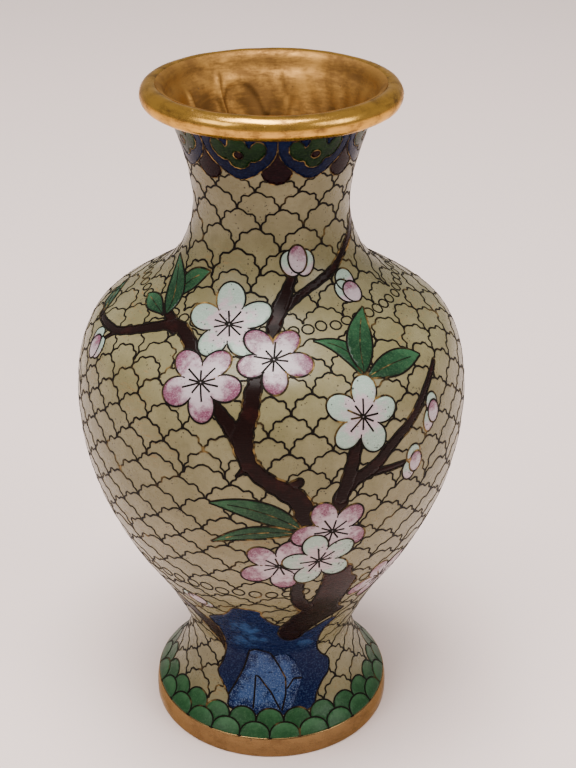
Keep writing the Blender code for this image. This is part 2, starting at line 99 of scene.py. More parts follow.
@dataclass
class VaseSkin:
    """The enamel's outer face: a turned surface that the drawing is laid on. Sizes are in millimetres."""

    height: float
    foot_top_radius: float
    foot_height: float
    belly_radius: float
    rim_radius: float
    bead_radius: float
    waist_radius: float = 29.1
    waist_height: float = 33.0
    belly_height: float = 121.0
    neck_radius: float = 24.7
    neck_height: float = 195.0
    seam_gap: float = 0.3
    drawing_height: float = 244.0
    curve_steps: int = 24
    foot_to_waist: tuple = ((0.28, 0.512), (0.64, 0.864))
    waist_to_belly: tuple = ((0.114, 0.102), (0.261, 0.287), (0.477, 0.614), (0.739, 0.889))
    belly_to_neck: tuple = (
        (0.270, 0.038), (0.432, 0.172), (0.541, 0.442), (0.635, 0.715), (0.743, 0.889), (0.878, 0.985),
    )
    neck_to_lip: tuple = ((0.46, 0.27), (0.89, 0.75))

    @classmethod
    def from_frame(cls) -> "VaseSkin":
        """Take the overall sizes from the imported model."""
        foot_low, foot_high = (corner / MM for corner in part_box("foot_ring"))
        rim_low, rim_high = (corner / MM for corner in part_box("mouth_rim"))
        ground_low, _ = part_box("ground_enamel")
        return cls(
            height=rim_high.z,
            foot_top_radius=-foot_low.y - FOOT_TAPER,
            foot_height=foot_high.z,
            belly_radius=-ground_low.y / MM,
            rim_radius=-rim_low.y - (rim_high.z - rim_low.z) / 2,
            bead_radius=(rim_high.z - rim_low.z) / 2,
        )

    def __post_init__(self) -> None:
        """Work out the profile and its lengths."""
        seat = (self.bead_radius + self.seam_gap) * math.sqrt(0.5)
        foot = (self.foot_height, self.foot_top_radius)
        waist = (self.waist_height, self.waist_radius)
        belly = (self.belly_height, self.belly_radius)
        neck = (self.neck_height, self.neck_radius)
        lip = (self.height - self.bead_radius - seat, self.rim_radius - seat)
        route = [
            *self.between(foot, waist, self.foot_to_waist),
            *self.between(waist, belly, self.waist_to_belly),
            *self.between(belly, neck, self.belly_to_neck),
            *self.between(neck, lip, self.neck_to_lip),
            lip,
        ]
        self.curve = smooth_curve(route, self.curve_steps)
        steps = np.linalg.norm(np.diff(self.curve, axis=0), axis=1)
        self.lengths = np.concatenate([[0.0], np.cumsum(steps)])
        self.slope = np.gradient(self.curve, self.lengths, axis=0)
        self.stretch = self.lengths[-1] / self.drawing_height

    @staticmethod
    def between(start: tuple, end: tuple, shares: Iterable[tuple]) -> list[Place]:
        """Place the profile's shape points.

        Args:
            start: The (height, radius) that the span begins at.
            end: The (height, radius) that it ends before.
            shares: How far each point is from one to the other, in height and radius.

        Returns:
            The span's (height, radius) points, without its end.
        """
        steps = [(0.0, 0.0), *shares]
        return [
            (start[0] + (end[0] - start[0]) * up, start[1] + (end[1] - start[1]) * out) for up, out in steps
        ]

    def radius(self, level: np.ndarray) -> np.ndarray:
        """The radius at these levels."""
        along = np.clip(level, 0, self.drawing_height) * self.stretch
        return np.interp(along, self.lengths, self.curve[:, 1])

    def profile(self, level: np.ndarray, proud: float) -> tuple[np.ndarray, np.ndarray]:
        """Find the turned section.

        Args:
            level: Levels on the drawing.
            proud: Distance out from the surface, negative under it.

        Returns:
            The radii and the heights.
        """
        at = np.clip(level, 0, self.drawing_height) * self.stretch
        height, radius, rise, flare = (
            np.interp(at, self.lengths, column) for column in (*self.curve.T, *self.slope.T)
        )
        size = np.hypot(rise, flare)
        return radius + proud * rise / size, height - proud * flare / size

    def place(self, places: np.ndarray, proud: float | np.ndarray = 0.0) -> np.ndarray:
        """Lay drawing places on the vase.

        Args:
            places: Rows of (azimuth, level).
            proud: Distance out from the surface, one for all or one each.

        Returns:
            Rows of x, y, z in metres.
        """
        radius, height = self.profile(places[:, 1], proud)
        turn = np.radians(places[:, 0])
        return np.stack([radius * np.sin(turn), -radius * np.cos(turn), height], axis=1) * MM

    def outward(self, places: np.ndarray) -> np.ndarray:
        """The surface's unit normals at these places."""
        reach = self.place(places, 1.0) - self.place(places, 0.0)
        return reach / np.linalg.norm(reach, axis=1, keepdims=True)

    def shifted(self, centre: Place, offsets: np.ndarray) -> np.ndarray:
        """Draw a shape round a place.

        Args:
            centre: The (azimuth, level) that the shape is drawn round.
            offsets: Rows of millimetres (across, up) from it.

        Returns:
            Rows of (azimuth, level).
        """
        level = centre[1] + offsets[:, 1] / self.stretch
        azimuth = centre[0] + np.degrees(offsets[:, 0] / self.radius(level))
        return np.stack([azimuth, level], axis=1)

    def offsets(self, centre: Place, places: np.ndarray) -> np.ndarray:
        """The other way round: millimetres (across, up) of these places from a centre."""
        up = (places[:, 1] - centre[1]) * self.stretch
        across = np.radians(places[:, 0] - centre[0]) * self.radius(places[:, 1])
        return np.stack([across, up], axis=1)

    def degree(self, level: float) -> float:
        """The length of one degree round the vase at this level, in millimetres."""
        return math.radians(1.0) * float(self.radius(np.array([level]))[0])

    def flat(self, places: np.ndarray, level: float) -> np.ndarray:
        """Millimetres along the drawing, as wide as it is at this level."""
        wide = self.degree(level)
        return np.stack([places[:, 0] * wide, places[:, 1] * self.stretch], axis=1)

    def unflat(self, points: np.ndarray, level: float) -> np.ndarray:
        """Drawing places from the millimetres that flat gives."""
        wide = self.degree(level)
        return np.stack([points[:, 0] / wide, points[:, 1] / self.stretch], axis=1)


# ---------------------------------------------------------------- flat drawing


def closed_loop(outline: np.ndarray) -> np.ndarray:
    """The outline with its first point again at the end."""
    return np.vstack([outline, outline[:1]])


def resampled(line: np.ndarray, spacing: float, scale: Place) -> np.ndarray:
    """Space points evenly along a line, keeping its ends.

    Args:
        line: The line's points.
        spacing: The distance wanted between two points.
        scale: How long one unit of each coordinate is.

    Returns:
        The new points.
    """
    steps = np.linalg.norm(np.diff(line, axis=0) * np.array(scale), axis=1)
    run = np.concatenate([[0.0], np.cumsum(steps)])
    count = max(2, math.ceil(run[-1] / spacing) + 1)
    at = np.linspace(0, run[-1], count)
    return np.stack([np.interp(at, run, column) for column in line.T], axis=1)


def inside(points: np.ndarray, outline: np.ndarray) -> np.ndarray:
    """Tell which points lie in a closed outline.

    Args:
        points: Rows of two coordinates.
        outline: The outline's corners, in order.

    Returns:
        True for each point inside.
    """
    found = np.zeros(len(points), bool)
    near = ((points >= outline.min(axis=0)) & (points <= outline.max(axis=0))).all(axis=1)
    x, y = points[near].T
    start, end = outline, np.roll(outline, -1, axis=0)
    rising = (start[:, 1][None] > y[:, None]) != (end[:, 1][None] > y[:, None])
    height = end[:, 1] - start[:, 1]
    height = np.where(height == 0, 1.0, height)
    cross = start[:, 0] + (y[:, None] - start[:, 1]) / height * (end[:, 0] - start[:, 0])
    found[near] = ((rising & (x[:, None] < cross)).sum(axis=1) % 2).astype(bool)
    return found


def covered(points: np.ndarray, covers: Iterable[np.ndarray]) -> np.ndarray:
    """True for each point that lies in any of the outlines."""
    found = np.zeros(len(points), bool)
    for outline in covers:
        found |= inside(points, outline)
    return found


def edge_distance(points: np.ndarray, outline: np.ndarray) -> np.ndarray:
    """The distance from each point to the nearest edge of a closed outline."""
    start, end = outline, np.roll(outline, -1, axis=0)
    along = end - start
    size = np.maximum((along**2).sum(axis=1), 1e-12)
    nearest = np.full(len(points), np.inf)
    for first, step, length in zip(start, along, size):
        share = np.clip(((points - first) @ step) / length, 0, 1)
        gap = np.linalg.norm(points - first - share[:, None] * step, axis=1)
        nearest = np.minimum(nearest, gap)
    return nearest


def kept_runs(line: np.ndarray, covers: list[np.ndarray], finer: int = 10) -> list[np.ndarray]:
    """Cut away the stretches of a line that covers hide.

    Args:
        line: The line's points.
        covers: The outlines that hide it.
        finer: How many parts each step is tested in.

    Returns:
        The stretches that are left.
    """
    covers = [cover for cover in covers if boxes_meet(line, cover)]
    if not covers:
        return [line]
    steps = np.arange((len(line) - 1) * finer + 1) / finer
    fine = np.stack([np.interp(steps, np.arange(len(line)), column) for column in line.T], axis=1)
    free = ~covered(fine, covers)
    edges = np.flatnonzero(np.diff(np.concatenate([[0], free.astype(int), [0]])))
    runs = []
    for first, last in zip(edges[::2], edges[1::2]):
        if last - first < 3:
            continue
        own = [at for at in range(first, last) if at % finer == 0 or at in (first, last - 1)]
        runs.append(fine[own])
    return runs


def boxes_meet(one: np.ndarray, other: np.ndarray) -> bool:
    """True if the boxes round two sets of points meet."""
    return bool((one.max(axis=0) >= other.min(axis=0)).all() and (one.min(axis=0) <= other.max(axis=0)).all())


# ---------------------------------------------------------------- making pieces


@dataclass
class Glaze:
    """One field of enamel on the drawing: its outline, how far out each place is, and its own tint."""

    outline: np.ndarray
    reach: Callable[[np.ndarray], np.ndarray]
    lot: float = 0.5


@dataclass
class Line:
    """One run of wire on the drawing."""

    places: np.ndarray
    width: float = 0.66
    closed: bool = False


class Bench:
    """The modelling bench: a piece is started from a primitive, shaped in edit mode and put down."""

    turned_crease = 35.0
    laid_crease = 50.0
    merge_distance = 1e-6

    @staticmethod
    def clear() -> None:
        """Leave edit mode and deselect everything."""
        if bpy.context.mode != "OBJECT":
            bpy.ops.object.mode_set(mode="OBJECT")
        bpy.ops.object.select_all(action="DESELECT")

    @classmethod
    def turned(cls, name: str, section: np.ndarray, columns: int) -> bpy.types.Object:
        """Spin a closed section round the vase's axis.

        Args:
            name: The piece's name.
            section: Rows of (radius, height) in millimetres, round the section.
            columns: The number of steps round.

        Returns:
            The piece.
        """
        cls.clear()
        bpy.ops.mesh.primitive_circle_add(vertices=len(section), radius=0.01, fill_type="NOTHING")
        piece = bpy.context.object
        piece.name = piece.data.name = name
        for vertex, (radius, height) in zip(piece.data.vertices, section):
            vertex.co = (0.0, -radius * MM, height * MM)
        bpy.ops.object.mode_set(mode="EDIT")
        bpy.ops.mesh.select_all(action="SELECT")
        bpy.ops.mesh.spin(steps=columns, angle=2 * math.pi, center=(0, 0, 0), axis=(0, 0, 1))
        bpy.ops.mesh.select_all(action="SELECT")
        bpy.ops.mesh.remove_doubles(threshold=cls.merge_distance)
        bpy.ops.mesh.delete_loose()
        bpy.ops.mesh.select_all(action="SELECT")
        bpy.ops.mesh.normals_make_consistent(inside=False)
        bpy.ops.object.mode_set(mode="OBJECT")
        bpy.ops.object.shade_smooth_by_angle(angle=math.radians(cls.turned_crease))
        return piece

    @classmethod
    def pick(cls, piece: bpy.types.Object) -> None:
        """Select only this piece and make it the active one."""
        cls.clear()
        piece.select_set(True)
        bpy.context.view_layer.objects.active = piece

    @classmethod
    def apply(cls, piece: bpy.types.Object, modifier: bpy.types.Modifier) -> None:
        """Apply one modifier to the piece."""
        cls.pick(piece)
        bpy.ops.object.modifier_apply(modifier=modifier.name)

    @classmethod
    def dented(cls, piece: bpy.types.Object, depth: float, size: float) -> None:
        """Give a piece the shallow dents of hand work.

        Args:
            piece: The piece.
            depth: How deep the dents are, in millimetres.
            size: How wide they are, in millimetres.
        """
        cloud = bpy.data.textures.new(piece.name + "_dents", "CLOUDS")
        cloud.noise_scale = size * MM
        cloud.noise_depth = 1
        dents = piece.modifiers.new("dents", "DISPLACE")
        dents.texture = cloud
        dents.texture_coords = "LOCAL"
        dents.strength = depth * MM
        cls.apply(piece, dents)

    @staticmethod
    def tone(piece: bpy.types.Object, title: str, values: np.ndarray) -> None:
        """Keep a value on each of the piece's points."""
        attribute = piece.data.attributes.new(title, "FLOAT", "POINT")
        attribute.data.foreach_set("value", np.asarray(values, np.float32))

    @classmethod
    def piece(cls, name: str, points: np.ndarray, faces: list) -> bpy.types.Object:
        """Make a piece from its points and faces.

        Args:
            name: The piece's name.
            points: Rows of x, y, z in metres.
            faces: The faces' corners, all facing out.

        Returns:
            The piece.
        """
        mesh = bpy.data.meshes.new(name)
        mesh.from_pydata(points.tolist(), [], faces)
        mesh.shade_smooth()
        mesh.set_sharp_from_angle(angle=math.radians(cls.laid_crease))
        made = bpy.data.objects.new(name, mesh)
        bpy.context.scene.collection.objects.link(made)
        return made

    @staticmethod
    def hand_over(
        piece: bpy.types.Object, finish: bpy.types.Material, slot: "Slot", nodes: Iterable[str] = ()
    ) -> None:
        """Dress a piece and say what it is.

        Args:
            piece: The finished piece.
            finish: Its material.
            slot: The record's material slot; not used.
            nodes: The CAD nodes that it stands for.
        """
        piece.data.materials.clear()
        piece.data.materials.append(finish)
        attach(piece, BODY)
        if nodes:
            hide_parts(*nodes)
        log.info("%s: %d faces", piece.name, len(piece.data.polygons))


@dataclass
class Enameller:
    """Lays glazes and wires on the vase, as closed pieces a little proud of the ground."""

    skin: VaseSkin
    wardrobe: "Wardrobe"
    grain: float = 1.0
    row_share: float = 0.87
    edge_share: float = 0.42
    glaze_proud: float = 0.05
    glaze_thickness: float = 0.5
    wire_proud: float = 0.13
    wire_taper: float = 0.8

    def field_mesh(self, glaze: Glaze, covers: list[np.ndarray]) -> tuple[np.ndarray, np.ndarray]:
        """Fill one field, leaving out what lies under the covers.

        Args:
            glaze: The field.
            covers: Outlines of the fields in front of it.

        Returns:
            The points as (azimuth, level), and the triangles.
        """
        level = float(glaze.outline[:, 1].mean())
        own = self.skin.flat(resampled_loop(glaze.outline, self.grain, self.skin, level), level)
        fronts = [
            self.skin.flat(resampled_loop(cover, self.grain, self.skin, level), level)
            for cover in covers
            if boxes_meet(glaze.outline, cover)
        ]
        low, high = own.min(axis=0), own.max(axis=0)
        step = self.grain
        rows = np.arange(low[1] + step / 2, high[1], step * self.row_share)
        columns = np.arange(low[0] + step / 2, high[0], step)
        grid = np.array(
            [(x + (index % 2) * step / 2, y) for index, y in enumerate(rows) for x in columns] or [own[0]]
        )
        grid = grid[inside(grid, own)]
        for outline in [own, *fronts]:
            grid = grid[edge_distance(grid, outline) > step * self.edge_share]
        points, edges = [], []
        for outline in [own, *fronts]:
            base = len(points)
            points += [Vector(point) for point in outline]
            edges += [(base + at, base + (at + 1) % len(outline)) for at in range(len(outline))]
        points += [Vector(point) for point in grid[~covered(grid, fronts)]]
        corners, _, faces, *_ = delaunay_2d_cdt(points, edges, [], 0, 1e-5, False)
        corners = np.array([tuple(corner) for corner in corners])
        faces = np.array(faces)
        centres = corners[faces].mean(axis=1)
        faces = faces[inside(centres, own) & ~covered(centres, fronts)]
        used, index = np.unique(faces, return_inverse=True)
        return self.skin.unflat(corners[used], level), index.reshape(-1, 3)

    def lay(self, name: str, glazes: list[Glaze], covers: list[np.ndarray]) -> bpy.types.Object | None:
        """Lay fields of enamel as one piece.

        Args:
            name: The piece's name.
            glazes: The fields, front ones first.
            covers: Outlines of what lies in front of all of them.

        Returns:
            The piece, or None where all of it is covered.
        """
        points, faces, reach, lots = [], [], [], []
        base = 0
        hidden = list(covers)
        for glaze in glazes:
            places, triangles = self.field_mesh(glaze, hidden)
            hidden.append(glaze.outline)
            if not len(triangles):
                continue
            points.append(self.skin.place(places, self.glaze_proud))
            reach.append(np.clip(glaze.reach(places), 0, 1))
            lots.append(np.full(len(places), glaze.lot))
            faces += (triangles + base).tolist()
            base += len(places)
        if not points:
            return None
        piece = Bench.piece(name, np.vstack(points), faces)
        Bench.tone(piece, "reach", np.concatenate(reach))
        Bench.tone(piece, "lot", np.concatenate(lots))
        fill = piece.modifiers.new("fill", "SOLIDIFY")
        fill.thickness = self.glaze_thickness * MM
        fill.offset = -1.0
        Bench.apply(piece, fill)
        return piece

    def solder(self, name: str, lines: list[Line], covers: list[np.ndarray]) -> bpy.types.Object | None:
        """Lay wires as one piece.

        Args:
            name: The piece's name.
            lines: The runs of wire.
            covers: Outlines of what lies in front of them.

        Returns:
            The piece, or None where nothing shows.
        """
        points, faces = [], []
        base = 0
        for line in lines:
            places = closed_loop(line.places) if line.closed else line.places
            for run in kept_runs(places, covers):
                whole = line.closed and len(run) == len(places)
                ring = run[:-1] if whole else run
                if len(ring) < 2:
                    continue
                made, sides = self.wire_mesh(ring, line.width, whole)
                points.append(made)
                faces += [tuple(corner + base for corner in side) for side in sides]
                base += len(made)
        if not points:
            return None
        return Bench.piece(name, np.vstack(points), faces)

    def set_enamel(
        self, name: str, glazes: list[Glaze], covers: list[np.ndarray], dress: "Dress",
        nodes: Iterable[str] = ()
    ) -> None:
        """Lay fields of enamel, if any of them shows, and dress them.

        Args:
            name: The piece's name.
            glazes: The fields, front ones first.
            covers: Outlines of what lies in front of them.
            dress: Their finish and slot.
            nodes: The CAD nodes that they stand for.
        """
        piece = self.lay(name, glazes, covers)
        if piece:
            Bench.hand_over(piece, self.wardrobe[dress[0]], dress[1], nodes)

    def set_wire(self, name: str, lines: list[Line], covers: list[np.ndarray], finish: "Finish") -> None:
        """Lay wires, if any of them shows, and dress them.

        Args:
            name: The piece's name.
            lines: The runs of wire.
            covers: Outlines of what lies in front of them.
            finish: Their finish.
        """
        piece = self.solder(name, lines, covers)
        if piece:
            Bench.hand_over(piece, self.wardrobe[finish], Slot.GILT)

    def wire_mesh(self, run: np.ndarray, width: float, closed: bool) -> tuple[np.ndarray, list]:
        """Shape one wire: a low bar, narrower on top, with its foot under the enamel.

        Args:
            run: The wire's (azimuth, level) places.
            width: How wide it shows, in millimetres.
            closed: True if its end meets its start.

        Returns:
            The points in metres, four for each place, and the faces.
        """
        middle = self.skin.place(run, 0.0)
        if closed:
            ahead = np.roll(middle, -1, axis=0) - np.roll(middle, 1, axis=0)
        else:
            ahead = np.gradient(middle, axis=0)
        up = self.skin.outward(run)
        side = np.cross(ahead, up)
        side /= np.maximum(np.linalg.norm(side, axis=1, keepdims=True), 1e-9)
        half = width / 2 * MM
        foot = middle - up * self.wire_proud * MM
        top = middle + up * self.wire_proud * MM
        narrow = half * self.wire_taper
        corners = [foot - side * half, top - side * narrow, top + side * narrow, foot + side * half]
        made = np.stack(corners, axis=1).reshape(-1, 3)
        count = len(run)
        faces = []
        for at in range(count if closed else count - 1):
            here, after = 4 * at, 4 * ((at + 1) % count)
            faces += [(here + k, here + (k + 1) % 4, after + (k + 1) % 4, after + k) for k in range(4)]
        if not closed:
            faces += [(3, 2, 1, 0), (4 * count - 4, 4 * count - 3, 4 * count - 2, 4 * count - 1)]
        return made, faces


def resampled_loop(outline: np.ndarray, spacing: float, skin: VaseSkin, level: float) -> np.ndarray:
    """Add points along a closed outline, keeping its corners.

    Args:
        outline: The outline's (azimuth, level) corners.
        spacing: The longest step wanted, in millimetres.
        skin: The surface.
        level: The level that widths are measured at.

    Returns:
        The outline with more points.
    """
    flat = skin.flat(outline, level)
    found = []
    for here, after in zip(flat, np.roll(flat, -1, axis=0)):
        parts = max(1, math.ceil(math.dist(here, after) / spacing))
        found += [here + (after - here) * part / parts for part in range(parts)]
    return skin.unflat(np.array(found), level)


# ---------------------------------------------------------------- shader desk


@dataclass(frozen=True)
class Signal:
    """A number that varies over a surface. Arithmetic on it adds Math nodes."""

    desk: "ShaderDesk"
    socket: bpy.types.NodeSocket

    def maths(self, operation: str, first: object, second: object) -> "Signal":
        """Add one Math node."""
        made = self.desk.add("ShaderNodeMath", {"operation": operation}, {0: first, 1: second})
        return Signal(self.desk, made)

    def __add__(self, other: object) -> "Signal":
        """This plus another."""
        return self.maths("ADD", self, other)

    __radd__ = __add__

    def __sub__(self, other: object) -> "Signal":
        """This less another."""
        return self.maths("SUBTRACT", self, other)

    def __rsub__(self, other: object) -> "Signal":
        """Another less this."""
        return self.maths("SUBTRACT", other, self)

    def __mul__(self, other: object) -> "Signal":
        """This times another."""
        return self.maths("MULTIPLY", self, other)

    __rmul__ = __mul__

    def clipped(self, low: float, high: float) -> "Signal":
        """This spread from 0 at low to 1 at high, with soft ends."""
        made = self.desk.add(
            "ShaderNodeMapRange",
            {"interpolation_type": "SMOOTHSTEP"},
            {"Value": self, "From Min": low, "From Max": high},
        )
        return Signal(self.desk, made)


class ShaderDesk:
    """Builds one material's nodes round its Principled shader."""

    def __init__(self, name: str) -> None:
        """Start a material of this name."""
        self.material = bpy.data.materials.new(name)
        self.material.use_nodes = True
        self.tree = self.material.node_tree
        self.shader = self.tree.nodes["Principled BSDF"]
        self.coordinates = self.tree.nodes.new("ShaderNodeTexCoord").outputs["Object"]

    def add(self, kind: str, settings: dict, inputs: dict, output: int | str = 0) -> bpy.types.NodeSocket:
        """Add a node.

        Args:
            kind: The node's type.
            settings: Its own settings, set first.
            inputs: Values or links by socket.
            output: The output that is wanted.

        Returns:
            That output's socket.
        """
        node = self.tree.nodes.new(kind)
        for title, value in settings.items():
            setattr(node, title, value)
        for place, value in inputs.items():
            self.feed(node.inputs[place], value)
        return node.outputs[output]

    def feed(self, socket: bpy.types.NodeSocket, value: object) -> None:
        """Link a socket, or set its value."""
        if isinstance(value, Signal):
            self.tree.links.new(value.socket, socket)
        elif isinstance(value, bpy.types.NodeSocket):
            self.tree.links.new(value, socket)
        elif isinstance(value, tuple) and len(value) == 3 and socket.type == "RGBA":
            socket.default_value = (*value, 1.0)
        else:
            socket.default_value = value

    def set(self, **values: object) -> None:
        """Feed the Principled shader's sockets, named with _ for a space."""
        for key, value in values.items():
            title = key.replace("_", " ").title().replace("Ior", "IOR")
            self.feed(self.shader.inputs[title], value)

    def noise(
        self, size: float, detail: float = 2.0, roughness: float = 0.5, squeeze: tuple = (1, 1, 1)
    ) -> Signal:
        """Soft noise.

        Args:
            size: The size of its blotches in millimetres.
            detail: How many finer layers it has.
            roughness: How strong they are.
            squeeze: How often it repeats along x, y and z against the others.

        Returns:
            Numbers round a half.
        """
        place = self.coordinates
        if squeeze != (1, 1, 1):
            place = self.add("ShaderNodeMapping", {}, {"Vector": place, "Scale": squeeze})
        inputs = {"Vector": place, "Scale": 1 / (size * MM), "Detail": detail, "Roughness": roughness}
        return Signal(self, self.add("ShaderNodeTexNoise", {}, inputs))

    def grains(self, size: float) -> Signal:
        """The distance to the nearest of scattered points, this many millimetres apart."""
        inputs = {"Vector": self.coordinates, "Scale": 1 / (size * MM)}
        return Signal(self, self.add("ShaderNodeTexVoronoi", {}, inputs, "Distance"))

    def attribute(self, title: str) -> Signal:
        """A value kept on the piece's points."""
        return Signal(self, self.add("ShaderNodeAttribute", {"attribute_name": title}, {}, "Fac"))

    def blend(self, share: Signal | float, first: object, second: object) -> bpy.types.NodeSocket:
        """Mix two colours.

        Args:
            share: How much of the second.
            first: A colour or a link.
            second: A colour or a link.

        Returns:
            The mixed colour.
        """
        return self.add("ShaderNodeMix", {"data_type": "RGBA"}, {0: share, 6: first, 7: second}, 2)

    def bump(self, height: Signal, strength: float, distance: float) -> None:
        """Raise the shader's normal by a height in units of this many millimetres."""
        inputs = {"Strength": strength, "Distance": distance * MM, "Height": height}
        self.set(normal=self.add("ShaderNodeBump", {}, inputs))

    def specks(self, spacing: float, crowd: Signal, size: float) -> Signal:
        """Small round marks, this many millimetres apart, larger where they crowd."""
        return 1 - (self.grains(spacing) - crowd * size).clipped(0.0, 0.06)


# ---------------------------------------------------------------- finishes


@dataclass(frozen=True)
class EnamelFinish:
    """Polished enamel: one colour running into another, with grains, pits and dark specks."""

    name: str
    inner: Colour
    outer: Colour
    turn_low: float = 0.3
    turn_high: float = 0.9
    grain: Colour = (0.5, 0.5, 0.5)
    grain_share: float = 0.25
    grain_size: float = 0.5
    speck: Colour = (0.05, 0.04, 0.03)
    speck_share: float = 0.8
    speck_size: float = 0.1
    roughness: float = 0.27
    shine: float = 0.3
    drift: float = 0.8
    scuff: float = 0.2

    def build(self) -> bpy.types.Material:
        """Make the material."""
        desk = ShaderDesk(self.name)
        reach = desk.attribute("reach")
        lot = desk.attribute("lot")
        cloud = desk.noise(3.0, 3.0, 0.6)
        turn = reach + (cloud - 0.5) * self.drift + (lot - 0.5) * 0.4
        turn = turn.clipped(self.turn_low, self.turn_high)
        colour = desk.blend(turn, self.inner, self.outer)
        granules = desk.noise(self.grain_size, 3.0, 0.75)
        colour = desk.blend(granules.clipped(0.48, 0.66) * self.grain_share, colour, self.grain)
        specks = desk.specks(1.2, desk.noise(2.6).clipped(0.42, 0.72), self.speck_size)
        colour = desk.blend(specks * self.speck_share, colour, self.speck)
        scuffs = desk.noise(1.0, 2.0, 0.6, (0.3, 0.3, 2.2)).clipped(0.5, 0.75)
        desk.set(
            base_color=colour,
            roughness=self.roughness + scuffs * self.scuff,
            specular_ior_level=self.shine,
        )
        desk.bump(granules * 0.4 - specks - scuffs * self.scuff, 0.35, 0.05)
        return desk.material


@dataclass(frozen=True)
class GroundFinish:
    """The cream ground: opaque, mottled, with fine dark pits and golden brushed scratches."""

    name: str = "cream_ground"
    base: Colour = (0.145, 0.126, 0.058)
    pale: Colour = (0.190, 0.166, 0.086)
    dull: Colour = (0.100, 0.085, 0.038)
    speck: Colour = (0.03, 0.02, 0.01)
    scratch: Colour = (0.20, 0.115, 0.035)

    def build(self) -> bpy.types.Material:
        """Make the material."""
        desk = ShaderDesk(self.name)
        broad = desk.noise(14.0, 3.0, 0.55)
        cloudy = desk.noise(3.2, 4.0, 0.65)
        fine = desk.noise(0.4, 3.0, 0.75)
        colour = desk.blend(broad.clipped(0.35, 0.7), self.base, self.pale)
        colour = desk.blend(cloudy.clipped(0.5, 0.82) * 0.45, colour, self.dull)
        colour = desk.blend(fine.clipped(0.52, 0.7) * 0.35, colour, self.dull)
        specks = desk.specks(1.15, desk.noise(4.5).clipped(0.4, 0.72), 0.24)
        colour = desk.blend(specks * 0.85, colour, self.speck)
        brushed = desk.noise(0.42, 2.0, 0.6, (0.1, 0.1, 1.6))
        where = desk.noise(26.0, 1.0).clipped(0.5, 0.64)
        scratches = brushed.clipped(0.58, 0.66) * where
        colour = desk.blend(scratches * 0.75, colour, self.scratch)
        desk.set(
            base_color=colour,
            roughness=0.27 + cloudy.clipped(0.4, 0.8) * 0.12 + scratches * 0.15,
            specular_ior_level=0.26,
        )
        desk.bump(fine * 0.35 - specks - scratches * 0.6, 0.4, 0.05)
        return desk.material


@dataclass(frozen=True)
class WireFinish:
    """Cloisonne wire: dark brass, with golden metallic patches that are painted glints where the wires catch
    the light.
    """

    name: str
    dark: Colour = (0.005, 0.0035, 0.0025)
    gold: Colour = (0.62, 0.38, 0.12)
    gold_share: float = 0.5
    gold_most: float = 0.6

    def build(self) -> bpy.types.Material:
        """Make the material."""
        desk = ShaderDesk(self.name)
        # painted glint: the golden metallic patches laid by noise stand in for glints where the wires catch
        # the light
        start = 0.6 - 0.2 * self.gold_share
        glint_patches = desk.noise(16.0, 3.0, 0.6).clipped(start, start + 0.26)
        glint_flecks = desk.noise(3.0, 3.0, 0.6).clipped(0.4, 0.75)
        shine = glint_patches * glint_flecks * self.gold_most
        desk.set(
            base_color=desk.blend(shine, self.dark, self.gold),
            metallic=shine,
            roughness=0.55 - shine * 0.25,
            specular_ior_level=0.06,
        )
        desk.bump(desk.noise(0.3, 2.0), 0.25, 0.03)
        return desk.material


@dataclass(frozen=True)
class BrassFinish:
    """Gilded or bare metal: rubbed, tarnished in patches and finely scratched, and darkened with painted
    shade where its reach attribute marks sunk parts; on the rim its tarnish streaks also run in bands that
    are a painted reflection.
    """

    name: str
    bright: Colour = (0.86, 0.56, 0.22)
    tarnish: Colour = (0.34, 0.18, 0.07)
    tarnish_low: float = 0.5
    tarnish_high: float = 0.8
    roughness: float = 0.2
    patch: float = 9.0
    streak: tuple[float, float, float] = (1.0, 1.0, 0.25)
    bump_share: float = 0.25
    # painted shade: depth is the colour that the sunk, shaded parts marked by the reach attribute are
    # darkened to
    depth: Colour = (0.10, 0.05, 0.02)
    pit: Colour = (0.07, 0.035, 0.015)
    edge: Colour = (1.0, 0.84, 0.62)

    def build(self) -> bpy.types.Material:
        """Make the material."""
        desk = ShaderDesk(self.name)
        patches = desk.noise(self.patch, 5.0, 0.65)
        # on the rim these streaks run as bands round the bead: partly tarnish, partly a painted reflection of
        # a dark band between highlights
        streaks = desk.noise(1.4, 4.0, 0.65, self.streak)
        fine = desk.noise(0.35, 3.0, 0.7)
        pits = desk.specks(2.6, desk.noise(5.0).clipped(0.5, 0.75), 0.14)
        # painted shade: the reach attribute marks sunk parts (the bead's inner side, deep in the neck), which
        # the tarnish and the depth colour darken
        painted_depth_shade = desk.attribute("reach")
        stain = patches * 0.65 + streaks * 0.35 + painted_depth_shade * 0.25
        stain = stain.clipped(self.tarnish_low, self.tarnish_high)
        colour = desk.blend(stain, self.bright, self.tarnish)
        # partly grime from fine noise, partly painted shade from the reach attribute
        grime_and_shade = (painted_depth_shade * 0.7 + (fine - 0.5) * 0.8).clipped(0.35, 0.9)
        colour = desk.blend(grime_and_shade, colour, self.depth)
        colour = desk.blend(pits * 0.75, colour, self.pit)
        dull = stain * 0.2 + grime_and_shade * 0.15 + fine.clipped(0.45, 0.8) * 0.1 + pits * 0.3
        desk.set(
            base_color=colour,
            metallic=1.0 - pits * 0.6,
            specular_tint=self.edge,
            roughness=self.roughness + dull,
        )
        desk.bump(streaks * 0.6 + fine * 0.2 - pits, self.bump_share, 0.12)
        return desk.material


@dataclass(frozen=True)
class FloorFinish:
    """A plain pale table top."""

    name: str = "pale_table"
    colour: Colour = (0.955, 0.785, 0.74)

    def build(self) -> bpy.types.Material:
        """Make the material."""
        desk = ShaderDesk(self.name)
        cloud = desk.noise(240.0, 2.0)
        darker = tuple(0.965 * part for part in self.colour)
        desk.set(base_color=desk.blend(cloud, self.colour, darker), roughness=0.6)
        return desk.material


